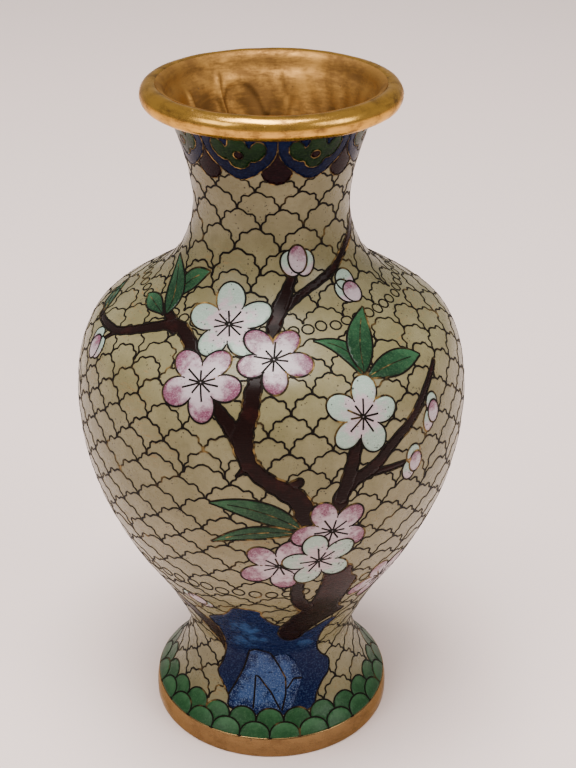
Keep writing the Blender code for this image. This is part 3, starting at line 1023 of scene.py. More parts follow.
class Finish(Enum):
    """Every finish on the vase."""

    CREAM = GroundFinish()
    # painted glint: each wire's gold share sets how much of it carries golden patches that stand in for
    # glints
    WIRE = WireFinish("net_wire", gold_share=0.3)
    MOTIF_WIRE = WireFinish("motif_wire", gold_share=0.75)
    COLLAR_WIRE = WireFinish("collar_wire", gold_share=1.4, gold_most=0.7)
    PINK = EnamelFinish(
        "pink_petal", (0.36, 0.30, 0.32), (0.13, 0.037, 0.070), 0.40, 0.88, (0.40, 0.24, 0.29), 0.55, 0.45,
        speck=(0.04, 0.010, 0.016), speck_size=0.2, drift=1.3,
    )
    WHITE = EnamelFinish(
        "white_petal", (0.36, 0.27, 0.295), (0.24, 0.325, 0.265), 0.34, 0.72,
        (0.40, 0.42, 0.38), 0.5, 0.4,
        speck=(0.01, 0.015, 0.012), speck_size=0.31, drift=1.3,
    )
    GREEN = EnamelFinish(
        "green_leaf", (0.006, 0.026, 0.011), (0.024, 0.078, 0.034), 0.35, 1.0,
        (0.05, 0.10, 0.045), 0.4, 0.7,
        speck=(0.002, 0.006, 0.003), shine=0.12, scuff=0.1,
    )
    WOOD = EnamelFinish(
        "maroon_wood", (0.0075, 0.0028, 0.0024), (0.027, 0.0062, 0.0052), 0.4, 1.0,
        (0.012, 0.004, 0.003), 0.3, 1.2,
        speck=(0.002, 0.001, 0.001), shine=0.07, scuff=0.05,
    )
    NAVY = EnamelFinish(
        "navy_rock", (0.0016, 0.0045, 0.030), (0.018, 0.05, 0.13), 0.5, 1.1,
        (0.10, 0.17, 0.30), 0.2, 0.6,
        speck=(0.001, 0.002, 0.010), shine=0.06, drift=1.5, scuff=0.08,
    )
    CRYSTAL = EnamelFinish(
        "pale_blue_rock", (0.002, 0.007, 0.045), (0.024, 0.052, 0.145), 0.05, 0.85,
        (0.17, 0.24, 0.36), 0.55, 0.5,
        speck=(0.002, 0.005, 0.03), speck_size=0.34, drift=2.4, shine=0.08,
    )
    SCALE = EnamelFinish(
        "green_scale", (0.010, 0.046, 0.014), (0.030, 0.095, 0.036), 0.35, 1.0,
        (0.05, 0.12, 0.05), 0.35, 0.8,
        speck=(0.003, 0.010, 0.004), shine=0.14, roughness=0.34, scuff=0.1,
    )
    LAPPET_BLUE = EnamelFinish(
        "collar_blue", (0.0010, 0.0026, 0.016), (0.003, 0.007, 0.034), 0.3, 0.9,
        (0.012, 0.025, 0.08), 0.3, 0.8,
        speck=(0.001, 0.002, 0.006), shine=0.05, scuff=0.05,
    )
    LAPPET_GREEN = EnamelFinish(
        "collar_green", (0.002, 0.010, 0.003), (0.008, 0.026, 0.008), 0.3, 0.9,
        (0.03, 0.06, 0.015), 0.4, 0.6,
        speck=(0.001, 0.004, 0.001), shine=0.05, scuff=0.05,
    )
    LAPPET_MAROON = EnamelFinish(
        "collar_maroon", (0.006, 0.0010, 0.002), (0.018, 0.003, 0.005), 0.3, 0.9,
        (0.035, 0.008, 0.011), 0.3, 0.8,
        speck=(0.002, 0.001, 0.001), shine=0.05, scuff=0.05,
    )
    COUNTER = EnamelFinish(
        "turquoise_counter_enamel", (0.02, 0.17, 0.20), (0.03, 0.22, 0.25), 0.3, 0.9,
        (0.05, 0.27, 0.30), 0.3, 0.9,
    )
    # painted reflection: the rim's squeezed streaks lay tarnish in bands round the bead, which stand in for
    # the dark band it reflects between its highlights
    RIM = BrassFinish(
        "gilt_rim", bright=(0.60, 0.32, 0.055), tarnish=(0.13, 0.065, 0.024), tarnish_low=0.42,
        tarnish_high=0.68, roughness=0.17, streak=(0.25, 0.25, 1.7), patch=7.0, bump_share=0.4,
    )
    FOOT = BrassFinish(
        "gilt_foot", bright=(0.215, 0.128, 0.052), tarnish=(0.095, 0.05, 0.02), tarnish_low=0.4,
        roughness=0.22, streak=(0.3, 0.3, 1.5),
    )
    # painted shade: depth here is the colour of the shade deep in the neck
    NECK_INSIDE = BrassFinish(
        "neck_inside", bright=(0.37, 0.19, 0.048), tarnish=(0.17, 0.085, 0.026), tarnish_low=0.4,
        tarnish_high=0.66, roughness=0.48, patch=12.0, streak=(0.35, 0.35, 1.6), bump_share=0.5,
        depth=(0.06, 0.03, 0.012),
    )
    BARE_COPPER = BrassFinish(
        "bare_copper", bright=(0.52, 0.27, 0.14), tarnish=(0.20, 0.10, 0.05), tarnish_low=0.4, roughness=0.45,
    )
    TABLE = FloorFinish()


class Wardrobe:
    """Makes each finish once."""

    def __init__(self) -> None:
        """Start with nothing made."""
        self.made: dict[Finish, bpy.types.Material] = {}

    def __getitem__(self, finish: Finish) -> bpy.types.Material:
        """The material of this finish."""
        if finish not in self.made:
            self.made[finish] = finish.value.build()
        return self.made[finish]


class Slot(str, Enum):
    """The record's material slots."""

    GILT = "gilt_brass"
    COPPER = "bare_copper"
    CREAM = "cream_enamel"
    GREEN = "green_enamel"
    BLUE = "blue_enamel"
    PINK = "pink_enamel"
    WHITE = "white_enamel"
    BROWN = "brown_enamel"
    TURQUOISE = "turquoise_enamel"


Dress = tuple[Finish, Slot]


# ---------------------------------------------------------------- metalwork


def rounded_section(corners: list[Place], radius: float, steps: int = 5) -> np.ndarray:
    """Round the corners of a closed section.

    Args:
        corners: The section's (radius, height) corners in order.
        radius: How far each corner is cut back.
        steps: The number of points round a corner.

    Returns:
        The rounded section.
    """
    found = []
    count = len(corners)
    for at in range(count):
        before, here, after = (np.array(corners[(at + step) % count], float) for step in (-1, 0, 1))
        cut = min(radius, math.dist(before, here) / 2.2, math.dist(here, after) / 2.2)
        start = here + (before - here) / math.dist(before, here) * cut
        end = here + (after - here) / math.dist(after, here) * cut
        for share in np.linspace(0, 1, steps):
            found.append((1 - share) ** 2 * start + 2 * share * (1 - share) * here + share**2 * end)
    return np.array(found)


@dataclass
class MetalBody:
    """The copper sections under the enamel, the mouth rim, the foot ring and the base."""

    skin: VaseSkin
    wardrobe: Wardrobe
    enamel: float = 1.0
    gap: float = 0.3
    copper: float = 1.2
    seams: tuple[float, float] = (77.8, 177.8)
    columns: int = 160
    row: float = 2.0
    fine_columns: int = 288
    fine_row: float = 0.9
    neck_degree: float = 0.55
    scars: tuple = (
        (((-176, 212), (-172, 217), (-166, 221), (-158, 222.5), (-150, 221.5), (-144, 217), (-146, 211)),
            0.7, 1.0),
        (((-146, 223.5), (-143, 218), (-145, 212), (-141, 206)), 0.9, 0.9),
        (((-118, 221), (-116, 215), (-119, 209)), 1.1, 0.9),
        (((172, 223), (167, 217), (170, 210), (166, 203)), 0.6, 1.1),
        (((130, 219), (140, 213), (150, 211)), 0.5, 1.6),
    )

    def section(self, low: float, high: float, row: float) -> np.ndarray:
        """The closed section of one spun copper piece, between two levels."""
        levels = np.arange(low, high, row)
        levels = np.append(levels, high)
        outer = np.stack(self.skin.profile(levels, -self.enamel - self.gap), axis=1)
        inner = np.stack(self.skin.profile(levels[::-1], -self.enamel - self.gap - self.copper), axis=1)
        return np.vstack([outer, inner])

    def copper_sections(self) -> None:
        """Spin the foot, belly and neck sections, and rough up the neck's inside."""
        low, high = self.seams
        ends = {
            "foot_section": (3.0, low - 0.3), "belly_section": (low + 0.3, high - 0.3),
            "neck_section": (high + 0.3, self.skin.drawing_height - 1.0),
        }
        for node, (start, end) in ends.items():
            title = node.replace("section", "copper")
            if node == "neck_section":
                section = self.with_lip(self.section(start, end, self.fine_row))
                piece = Bench.turned(title, section, self.fine_columns)
                self.braze(piece)
                finish = Finish.NECK_INSIDE
            else:
                piece = Bench.turned(title, self.section(start, end, self.row), self.columns)
                finish = Finish.BARE_COPPER
            Bench.hand_over(piece, self.wardrobe[finish], Slot.COPPER, [node])

    def with_lip(self, section: np.ndarray) -> np.ndarray:
        """Carry the neck's section up to the inside of the rim's bead."""
        bead, ring = self.skin.bead_radius, self.skin.rim_radius
        half = len(section) // 2
        level = self.skin.height - bead
        lip = np.array([
            (ring - 0.40 * bead, level - 0.30 * bead),
            (ring - 0.32 * bead, level + 0.50 * bead),
            (ring - 0.38 * bead, level + 0.95 * bead),
            (ring - 0.62 * bead, level + 0.87 * bead),
            (ring - 0.90 * bead, level + 0.60 * bead),
            (ring - 1.09 * bead, level + 0.22 * bead),
            (ring - 1.18 * bead, level - 0.12 * bead),
        ])
        return np.vstack([section[:half], lip, section[half:]])

    def braze(self, piece: bpy.types.Object) -> None:
        """Raise the scars and ridges of the brazing on the neck's inside, and note where it is darkened:
        painted shade deeper down the neck, with uneven grime round it.
        """
        points = np.array([vertex.co[:] for vertex in piece.data.vertices]) / MM
        radius = np.hypot(points[:, 0], points[:, 1])
        azimuth = np.degrees(np.arctan2(points[:, 0], -points[:, 1]))
        wall = self.enamel + self.gap + self.copper / 2
        inner = radius < np.array([self.skin_radius(height * MM) for height in points[:, 2]]) - wall
        lift = 0.16 * np.sin(azimuth * 0.21 + points[:, 2] * 0.33)
        lift = lift + 0.12 * np.sin(azimuth * 0.43 - points[:, 2] * 0.6)
        for route, height, size in self.scars:
            line = resampled(np.array(route, float), 1.0, (self.neck_degree, 1.0))
            gap = np.full(len(points), np.inf)
            for place in line:
                turn = (azimuth - place[0] + 180) % 360 - 180
                off = np.hypot(turn * self.neck_degree, points[:, 2] - place[1])
                gap = np.minimum(gap, off)
            lift = lift + height * np.exp(-((gap / size) ** 2))
        scale = np.where(inner, 1 - lift / radius, 1.0)
        flat = np.stack([points[:, 0] * scale, points[:, 1] * scale, points[:, 2]], axis=1) * MM
        piece.data.vertices.foreach_set("co", flat.ravel())
        # painted shade: the inside is darkened the deeper it lies below the lip, with uneven grime in bands
        # round it
        deep = np.clip((self.skin.height - 9 - points[:, 2]) / 26, 0, 1)
        grime_and_shade = piece.data.attributes.new("reach", "FLOAT", "POINT")
        grime_and_shade.data.foreach_set("value", np.clip(0.75 * deep + 0.35 * np.sin(azimuth * 0.06) ** 2, 0, 1))

    def skin_radius(self, height: float) -> float:
        """The outside's radius at this height in metres."""
        return float(np.interp(height / MM, self.skin.curve[:, 0], self.skin.curve[:, 1]))

    def mouth_rim(self) -> None:
        """Roll the mouth rim: a round bead with small dents, darkened on its inside with painted shade."""
        bead = self.skin.bead_radius
        centre = self.skin.rim_radius
        Bench.clear()
        bpy.ops.mesh.primitive_torus_add(
            major_segments=224, minor_segments=36, major_radius=centre * MM, minor_radius=bead * MM,
            location=(0, 0, (self.skin.height - bead) * MM),
        )
        piece = bpy.context.object
        piece.name = piece.data.name = "rolled_mouth_rim"
        bpy.ops.object.transform_apply(location=True, rotation=True, scale=True)
        points = np.array([vertex.co[:] for vertex in piece.data.vertices]) / MM
        # painted shade: the bead's inner side, turned to the neck, is marked to be darkened
        inward = (centre - np.hypot(points[:, 0], points[:, 1])) / bead
        grime_and_shade = piece.data.attributes.new("reach", "FLOAT", "POINT")
        grime_and_shade.data.foreach_set("value", np.clip(inward * 0.9 - 0.1, 0, 1))
        Bench.dented(piece, 0.32, 11.0)
        Bench.pick(piece)
        bpy.ops.object.shade_smooth()
        Bench.hand_over(piece, self.wardrobe[Finish.RIM], Slot.GILT, ["mouth_rim"])

    def foot_ring(self) -> None:
        """Turn the foot ring, with rubbed round edges."""
        low, high = (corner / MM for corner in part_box("foot_ring"))
        outer, top = -low.y, high.z
        wall = 2.0
        corners = [
            (outer, low.z), (outer + 0.05, (low.z + top) / 2), (self.skin.foot_top_radius + 0.2, top + 0.25),
            (self.skin.foot_top_radius - wall, top), (outer - wall, low.z),
        ]
        piece = Bench.turned("rubbed_foot_ring", rounded_section(corners, 0.7), 224)
        Bench.dented(piece, 0.06, 9.0)
        Bench.hand_over(piece, self.wardrobe[Finish.FOOT], Slot.GILT, ["foot_ring"])

    def base(self) -> None:
        """Turn the base plate and the counter enamel under it, slightly dished."""
        for node, title, finish, slot in (
            ("base_plate", "dished_base_plate", Finish.BARE_COPPER, Slot.COPPER),
            ("base_enamel", "counter_enamel", Finish.COUNTER, Slot.TURQUOISE),
        ):
            low, high = (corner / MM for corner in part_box(node))
            radius = -low.y
            steps = np.linspace(0, 1, 12)
            dish = 0.25 * (1 - steps**2)
            under = np.stack([radius * steps, low.z + dish], axis=1)
            over = np.stack([radius * steps[::-1], high.z + dish[::-1]], axis=1)
            under[-1, 1] += 0.12
            over[0, 1] -= 0.12
            piece = Bench.turned(title, np.vstack([under, over]), 128)
            Bench.dented(piece, 0.12, 12.0)
            Bench.hand_over(piece, self.wardrobe[finish], slot, [node])

    def build(self) -> None:
        """Make all the metalwork."""
        self.copper_sections()
        self.mouth_rim()
        self.foot_ring()
        self.base()


@dataclass
class EnamelGround:
    """The cream enamel shell that everything else is set in."""

    skin: VaseSkin
    wardrobe: Wardrobe
    thickness: float = 1.0
    columns: int = 256
    row: float = 1.05
    inner_row: float = 6.0

    def build(self) -> None:
        """Turn the shell."""
        top = self.skin.drawing_height - 0.4
        outer_levels = np.append(np.arange(0.15, top, self.row), top)
        inner_levels = np.append(np.arange(0.15, top, self.inner_row), top)[::-1]
        outer = np.stack(self.skin.profile(outer_levels, 0.0), axis=1)
        inner = np.stack(self.skin.profile(inner_levels, -self.thickness), axis=1)
        piece = Bench.turned("cream_ground_enamel", np.vstack([outer, inner]), self.columns)
        Bench.hand_over(piece, self.wardrobe[Finish.CREAM], Slot.CREAM, ["ground_enamel"])


# ---------------------------------------------------------------- motifs


@dataclass
class Motif:
    """Something drawn on the vase, which stands for one CAD node."""

    node: str

    finish = Finish.PINK
    slot = Slot.PINK
    inner_finish = Finish.WIRE
    joins = ""

    def outlines(self, skin: VaseSkin) -> list[np.ndarray]:
        """The outlines that hide what is behind."""
        return [glaze.outline for glaze in self.glazes(skin)]

    def glazes(self, skin: VaseSkin) -> list[Glaze]:
        """The enamel fields."""
        raise NotImplementedError

    def lines(self, skin: VaseSkin) -> list[Line]:
        """The wires: by default round every field."""
        return [Line(glaze.outline, closed=True) for glaze in self.glazes(skin)]

    def inner_lines(self, skin: VaseSkin) -> list[Line]:
        """The wires inside the field, by default none."""
        return []


class Bloom(Enum):
    """The two colours of blossom."""

    PINK = "pink"
    WHITE = "white"


@dataclass
class Blossom(Motif):
    """A five-petalled blossom with fine stamens."""

    azimuth: float
    level: float
    distance: float
    petal: float
    turn: float
    bloom: Bloom = Bloom.PINK
    heart: float = 0.6
    fullness: float = 0.335
    stamens: int = 10
    stamen: float = 5.0
    steps: int = 24

    def __post_init__(self) -> None:
        """Take the bloom's finish."""
        white = self.bloom is Bloom.WHITE
        self.finish = Finish.WHITE if white else Finish.PINK
        self.slot = Slot.WHITE if white else Slot.PINK

    def reach_at(self, bearing: np.ndarray) -> np.ndarray:
        """How far the outline is from the centre at these bearings from the first petal's axis."""
        number = (bearing + 36) // 72 % 5
        off = np.radians((bearing + 36) % 72 - 36)
        span = (self.distance + self.petal) * (1 + 0.04 * np.sin(number * 2.1 + self.turn))
        middle = self.heart * span
        square = (np.cos(off) / (span - middle)) ** 2 + (np.sin(off) / (self.fullness * span)) ** 2
        half = middle * np.cos(off) / (span - middle) ** 2
        rest = (middle / (span - middle)) ** 2 - 1
        return (half + np.sqrt(np.maximum(half**2 - square * rest, 0.0))) / square

    def glazes(self, skin: VaseSkin) -> list[Glaze]:
        """One field: the petals run into one another at the heart."""
        bearing = np.arange(5 * self.steps) * 72 / self.steps
        reach = self.reach_at(bearing)
        heading = np.radians(bearing + self.turn)
        outline = np.stack([reach * np.cos(heading), reach * np.sin(heading)], axis=1)
        centre = (self.azimuth, self.level)
        span = self.distance + self.petal

        def spread(places: np.ndarray) -> np.ndarray:
            """The share of the way out to the petals' tips."""
            return np.linalg.norm(skin.offsets(centre, places), axis=1) / span

        return [Glaze(skin.shifted(centre, outline), spread, 0.5)]

    def lines(self, skin: VaseSkin) -> list[Line]:
        """The outline and its hooks into the notches."""
        centre = (self.azimuth, self.level)
        lines = super().lines(skin)
        notch = float(self.reach_at(np.array([36.0]))[0])
        for number in range(5):
            heading = math.radians(36 + 72 * number + self.turn)
            ends = np.array([notch, notch - 0.9])
            hook = np.stack([ends * math.cos(heading), ends * math.sin(heading)], axis=1)
            lines.append(Line(skin.shifted(centre, hook), 0.5))
        return lines

    def inner_lines(self, skin: VaseSkin) -> list[Line]:
        """The stamens: short strokes from the heart, a little uneven."""
        lines = []
        for number in range(self.stamens):
            heading = 2 * math.pi * (number + 0.2 * math.sin(5 * number + self.turn)) / self.stamens
            heading += math.radians(self.turn)
            length = self.stamen * (1 + 0.22 * math.sin(3 * number + self.level))
            ends = np.array([0.2, length / 2, length])
            stroke = np.stack([ends * math.cos(heading), ends * math.sin(heading)], axis=1)
            lines.append(Line(skin.shifted((self.azimuth, self.level), stroke), 0.7))
        return lines


def oval(skin: VaseSkin, centre: Place, size: Place, tilt: float) -> np.ndarray:
    """An oval's outline on the drawing.

    Args:
        skin: The surface.
        centre: Its (azimuth, level).
        size: Its width and height in millimetres.
        tilt: Its turn anticlockwise in degrees.

    Returns:
        Rows of (azimuth, level), anticlockwise.
    """
    turn = np.linspace(0, 2 * math.pi, 28, endpoint=False)
    x, y = size[0] / 2 * np.cos(turn), size[1] / 2 * np.sin(turn)
    lean = math.radians(tilt)
    across = x * math.cos(lean) - y * math.sin(lean)
    up = x * math.sin(lean) + y * math.cos(lean)
    return skin.shifted(centre, np.stack([across, up], axis=1))


@dataclass
class Bud(Motif):
    """A bud: a pink heart in front of two or three pale husks."""

    heart: tuple[float, float, float, float, float]
    husks: tuple[tuple[float, float, float, float, float], ...]

    def leaf_of(self, skin: VaseSkin, shape: tuple[float, float, float, float, float], lot: float) -> Glaze:
        """One oval of the bud, with its reach growing upwards."""
        azimuth, level, width, height, tilt = shape
        centre = (azimuth, level)
        size = max(width, height)

        def spread(places: np.ndarray) -> np.ndarray:
            """Paler at the foot of the bud."""
            return 0.5 + skin.offsets(centre, places)[:, 1] / size

        return Glaze(oval(skin, centre, (width, height), tilt), spread, lot)

    def glazes(self, skin: VaseSkin) -> list[Glaze]:
        """The heart only: the husks are a piece of their own."""
        return [self.leaf_of(skin, self.heart, 0.4)]

    def husk_glazes(self, skin: VaseSkin) -> list[Glaze]:
        """The pale husks."""
        return [self.leaf_of(skin, husk, 0.7) for husk in self.husks]


@dataclass
class Leaf(Motif):
    """A long leaf with its midrib."""

    base: Place
    tip: Place
    width: float
    bend: float
    fullness: float = 0.85

    finish = Finish.GREEN
    slot = Slot.GREEN
    inner_finish = Finish.COLLAR_WIRE
    steps = 22

    def spine(self, skin: VaseSkin, share: np.ndarray) -> tuple[np.ndarray, np.ndarray]:
        """Find the midrib.

        Args:
            skin: The surface.
            share: How far along each point is.

        Returns:
            Offsets in millimetres from the base, and the unit vectors to the left.
        """
        reach = skin.offsets(self.base, np.array([self.tip]))[0]
        length = np.linalg.norm(reach)
        ahead = reach / length
        left = np.array([-ahead[1], ahead[0]])
        along = share[:, None] * reach + (4 * share * (1 - share) * self.bend)[:, None] * left
        heading = reach + (4 * (1 - 2 * share) * self.bend)[:, None] * left
        heading /= np.linalg.norm(heading, axis=1, keepdims=True)
        return along, np.stack([-heading[:, 1], heading[:, 0]], axis=1)

    def glazes(self, skin: VaseSkin) -> list[Glaze]:
        """One pointed field."""
        share = np.linspace(0, 1, self.steps)
        along, left = self.spine(skin, share)
        half = self.width / 2 * np.sin(math.pi * share**self.fullness) ** 0.85
        half = np.maximum(half, 0.25)
        one = along - left * half[:, None]
        other = (along + left * half[:, None])[::-1]
        outline = np.vstack([one, other])
        reach = skin.offsets(self.base, np.array([self.tip]))[0]

        def spread(places: np.ndarray) -> np.ndarray:
            """The share of the way to the tip."""
            return skin.offsets(self.base, places) @ reach / (reach @ reach)

        return [Glaze(skin.shifted(self.base, outline), spread, 0.5)]

    def inner_lines(self, skin: VaseSkin) -> list[Line]:
        """The midrib."""
        along, _ = self.spine(skin, np.linspace(0.04, 0.82, 14))
        return [Line(skin.shifted(self.base, along), 0.3)]


@dataclass
class Wood(Motif):
    """A stretch of trunk or branch, along a route of (azimuth, level, width)."""

    route: list[tuple[float, float, float]]

    finish = Finish.WOOD
    slot = Slot.BROWN
    joins = "wood"

    def glazes(self, skin: VaseSkin) -> list[Glaze]:
        """One strip with round ends."""
        route = np.array(self.route, float)
        start = (float(route[0, 0]), float(route[0, 1]))
        flat = skin.offsets(start, route[:, :2])
        smooth = smooth_curve([tuple(row) for row in np.column_stack([flat, route[:, 2]])], 8)
        middle, half = smooth[:, :2], smooth[:, 2] / 2
        ahead = np.gradient(middle, axis=0)
        ahead /= np.linalg.norm(ahead, axis=1, keepdims=True)
        left = np.stack([-ahead[:, 1], ahead[:, 0]], axis=1)
        wobble = 1 + 0.06 * np.sin(np.arange(len(half)) * 1.1 + route[0, 1])
        right_edge = middle - left * (half * wobble)[:, None]
        left_edge = middle + left * (half / wobble)[:, None]
        turn = np.linspace(-math.pi / 2, math.pi / 2, 7)[1:-1, None]
        end = middle[-1] + half[-1] * (np.cos(turn) * ahead[-1] + np.sin(turn) * left[-1])
        begin = middle[0] - half[0] * (np.cos(turn) * ahead[0] + np.sin(turn) * left[0])
        outline = np.vstack([right_edge, end, left_edge[::-1], begin])

        def spread(places: np.ndarray) -> np.ndarray:
            """Lighter towards the upper left edge."""
            return 0.35 + 0.25 * np.sin(places[:, 1] * 0.35 + places[:, 0] * 0.2)

        return [Glaze(skin.shifted(start, outline), spread, 0.5)]


@dataclass
class Stump(Motif):
    """The trunk's foot: a filled outline of (azimuth, level)."""

    corners: list[Place]

    finish = Finish.WOOD
    slot = Slot.BROWN
    joins = "wood"

    def glazes(self, skin: VaseSkin) -> list[Glaze]:
        """One field with softened corners."""
        outline = softened(skin, self.corners, 3)

        def spread(places: np.ndarray) -> np.ndarray:
            """Lighter up the trunk."""
            return 0.2 + 0.012 * (places[:, 1] - 40)

        return [Glaze(outline, spread, 0.5)]


def softened(skin: VaseSkin, corners: list[Place], steps: int) -> np.ndarray:
    """Draw a closed outline smoothly through corners.

    Args:
        skin: The surface.
        corners: The (azimuth, level) corners.
        steps: The number of steps between two.

    Returns:
        Rows of (azimuth, level).
    """
    level = float(np.mean([corner[1] for corner in corners]))
    flat = skin.flat(np.array(corners, float), level)
    ring = [tuple(point) for point in np.vstack([flat[-2:], flat, flat[:3]])]
    smooth = smooth_curve(ring, steps)[2 * steps : (2 + len(corners)) * steps]
    return skin.unflat(smooth, level)


@dataclass
class Rock(Motif):
    """The garden rock: a navy mass, paler veins and a pale crystal face."""

    corners: list[Place]
    face: list[Place]
    veins: list[list[Place]]
    light: list[tuple[float, float, float]]
    fade: float = 4.5
    radius: float = 33.0
    vein_width: float = 0.72

    finish = Finish.NAVY
    slot = Slot.BLUE

    def glazes(self, skin: VaseSkin) -> list[Glaze]:
        """The navy mass, lighter round a few spots."""
        outline = softened(skin, self.corners, 3)

        def spread(places: np.ndarray) -> np.ndarray:
            """Lighter near the light spots."""
            found = np.full(len(places), 0.12)
            for azimuth, level, size in self.light:
                off = np.linalg.norm(skin.offsets((azimuth, level), places), axis=1)
                found = np.maximum(found, 0.95 * np.exp(-((off / size) ** 2)))
            return found

        return [Glaze(outline, spread, 0.5)]

    def face_glaze(self, skin: VaseSkin) -> Glaze:
        """The pale crystal face."""
        scale = np.array([skin.offsets((0.0, 20.0), np.array([(1.0, 20.0)]))[0, 0], 1.0])
        outline = np.array(self.face, float)

        def spread(places: np.ndarray) -> np.ndarray:
            """Mottled, fading to navy at its edges."""
            return 0.85 * np.clip(edge_distance(places * scale, outline * scale) / self.fade, 0, 1) - 0.08

        return Glaze(outline, spread, 0.5)


# ---------------------------------------------------------------- the picture


ROCK = Rock(
    "rock_enamel",
    corners=[
        (-17, 64), (-12.5, 65.3), (-7, 64.5), (-4.7, 63.5), (-4.5, 60.5), (-2, 56.3), (1.4, 53), (5, 51),
        (12, 46), (19.3, 44.5), (24, 46), (28.5, 48.5), (33.5, 49.8), (37, 48.6), (35, 45.5), (32, 42),
        (31.3, 38), (32, 33), (34, 29.3), (37.5, 26.5), (43, 23.3), (40.5, 19), (34, 16.5), (28, 12.5),
        (25, 9), (0, 8), (-25, 9), (-26.5, 12.5), (-31, 15.5), (-37, 19), (-38, 20.5), (-35, 24.5),
        (-32.5, 31), (-31, 36), (-31, 41), (-32, 45), (-34.5, 50), (-29, 53.5), (-24, 56), (-20, 60),
    ],
    face=[
        (-26.5, 9.5), (-27, 13), (-23, 18.5), (-19, 24), (-15, 32), (-11.5, 33.6), (-8, 33.5), (-1, 32),
        (1.5, 29.5), (5.5, 30.8), (10, 30.5), (16, 27), (20, 22), (20.5, 20), (15, 14), (11, 9.5),
    ],
    veins=[
        [(-27, 13), (-23, 18.5), (-19, 24), (-15, 32), (-11.5, 33.6), (-8, 33.5), (-1, 32), (5, 26),
            (9.5, 21),
         (9, 15), (6, 9.5)],
        [(-10.5, 10), (-10.5, 22), (-8, 21.5), (-3, 18), (0, 16), (5, 10)],
        [(10, 17), (15, 20.5), (20.5, 20)],
    ],
    light=[(-14, 48, 7.5), (-9, 41, 6), (22, 36, 4.5), (-18, 38, 5)],
)

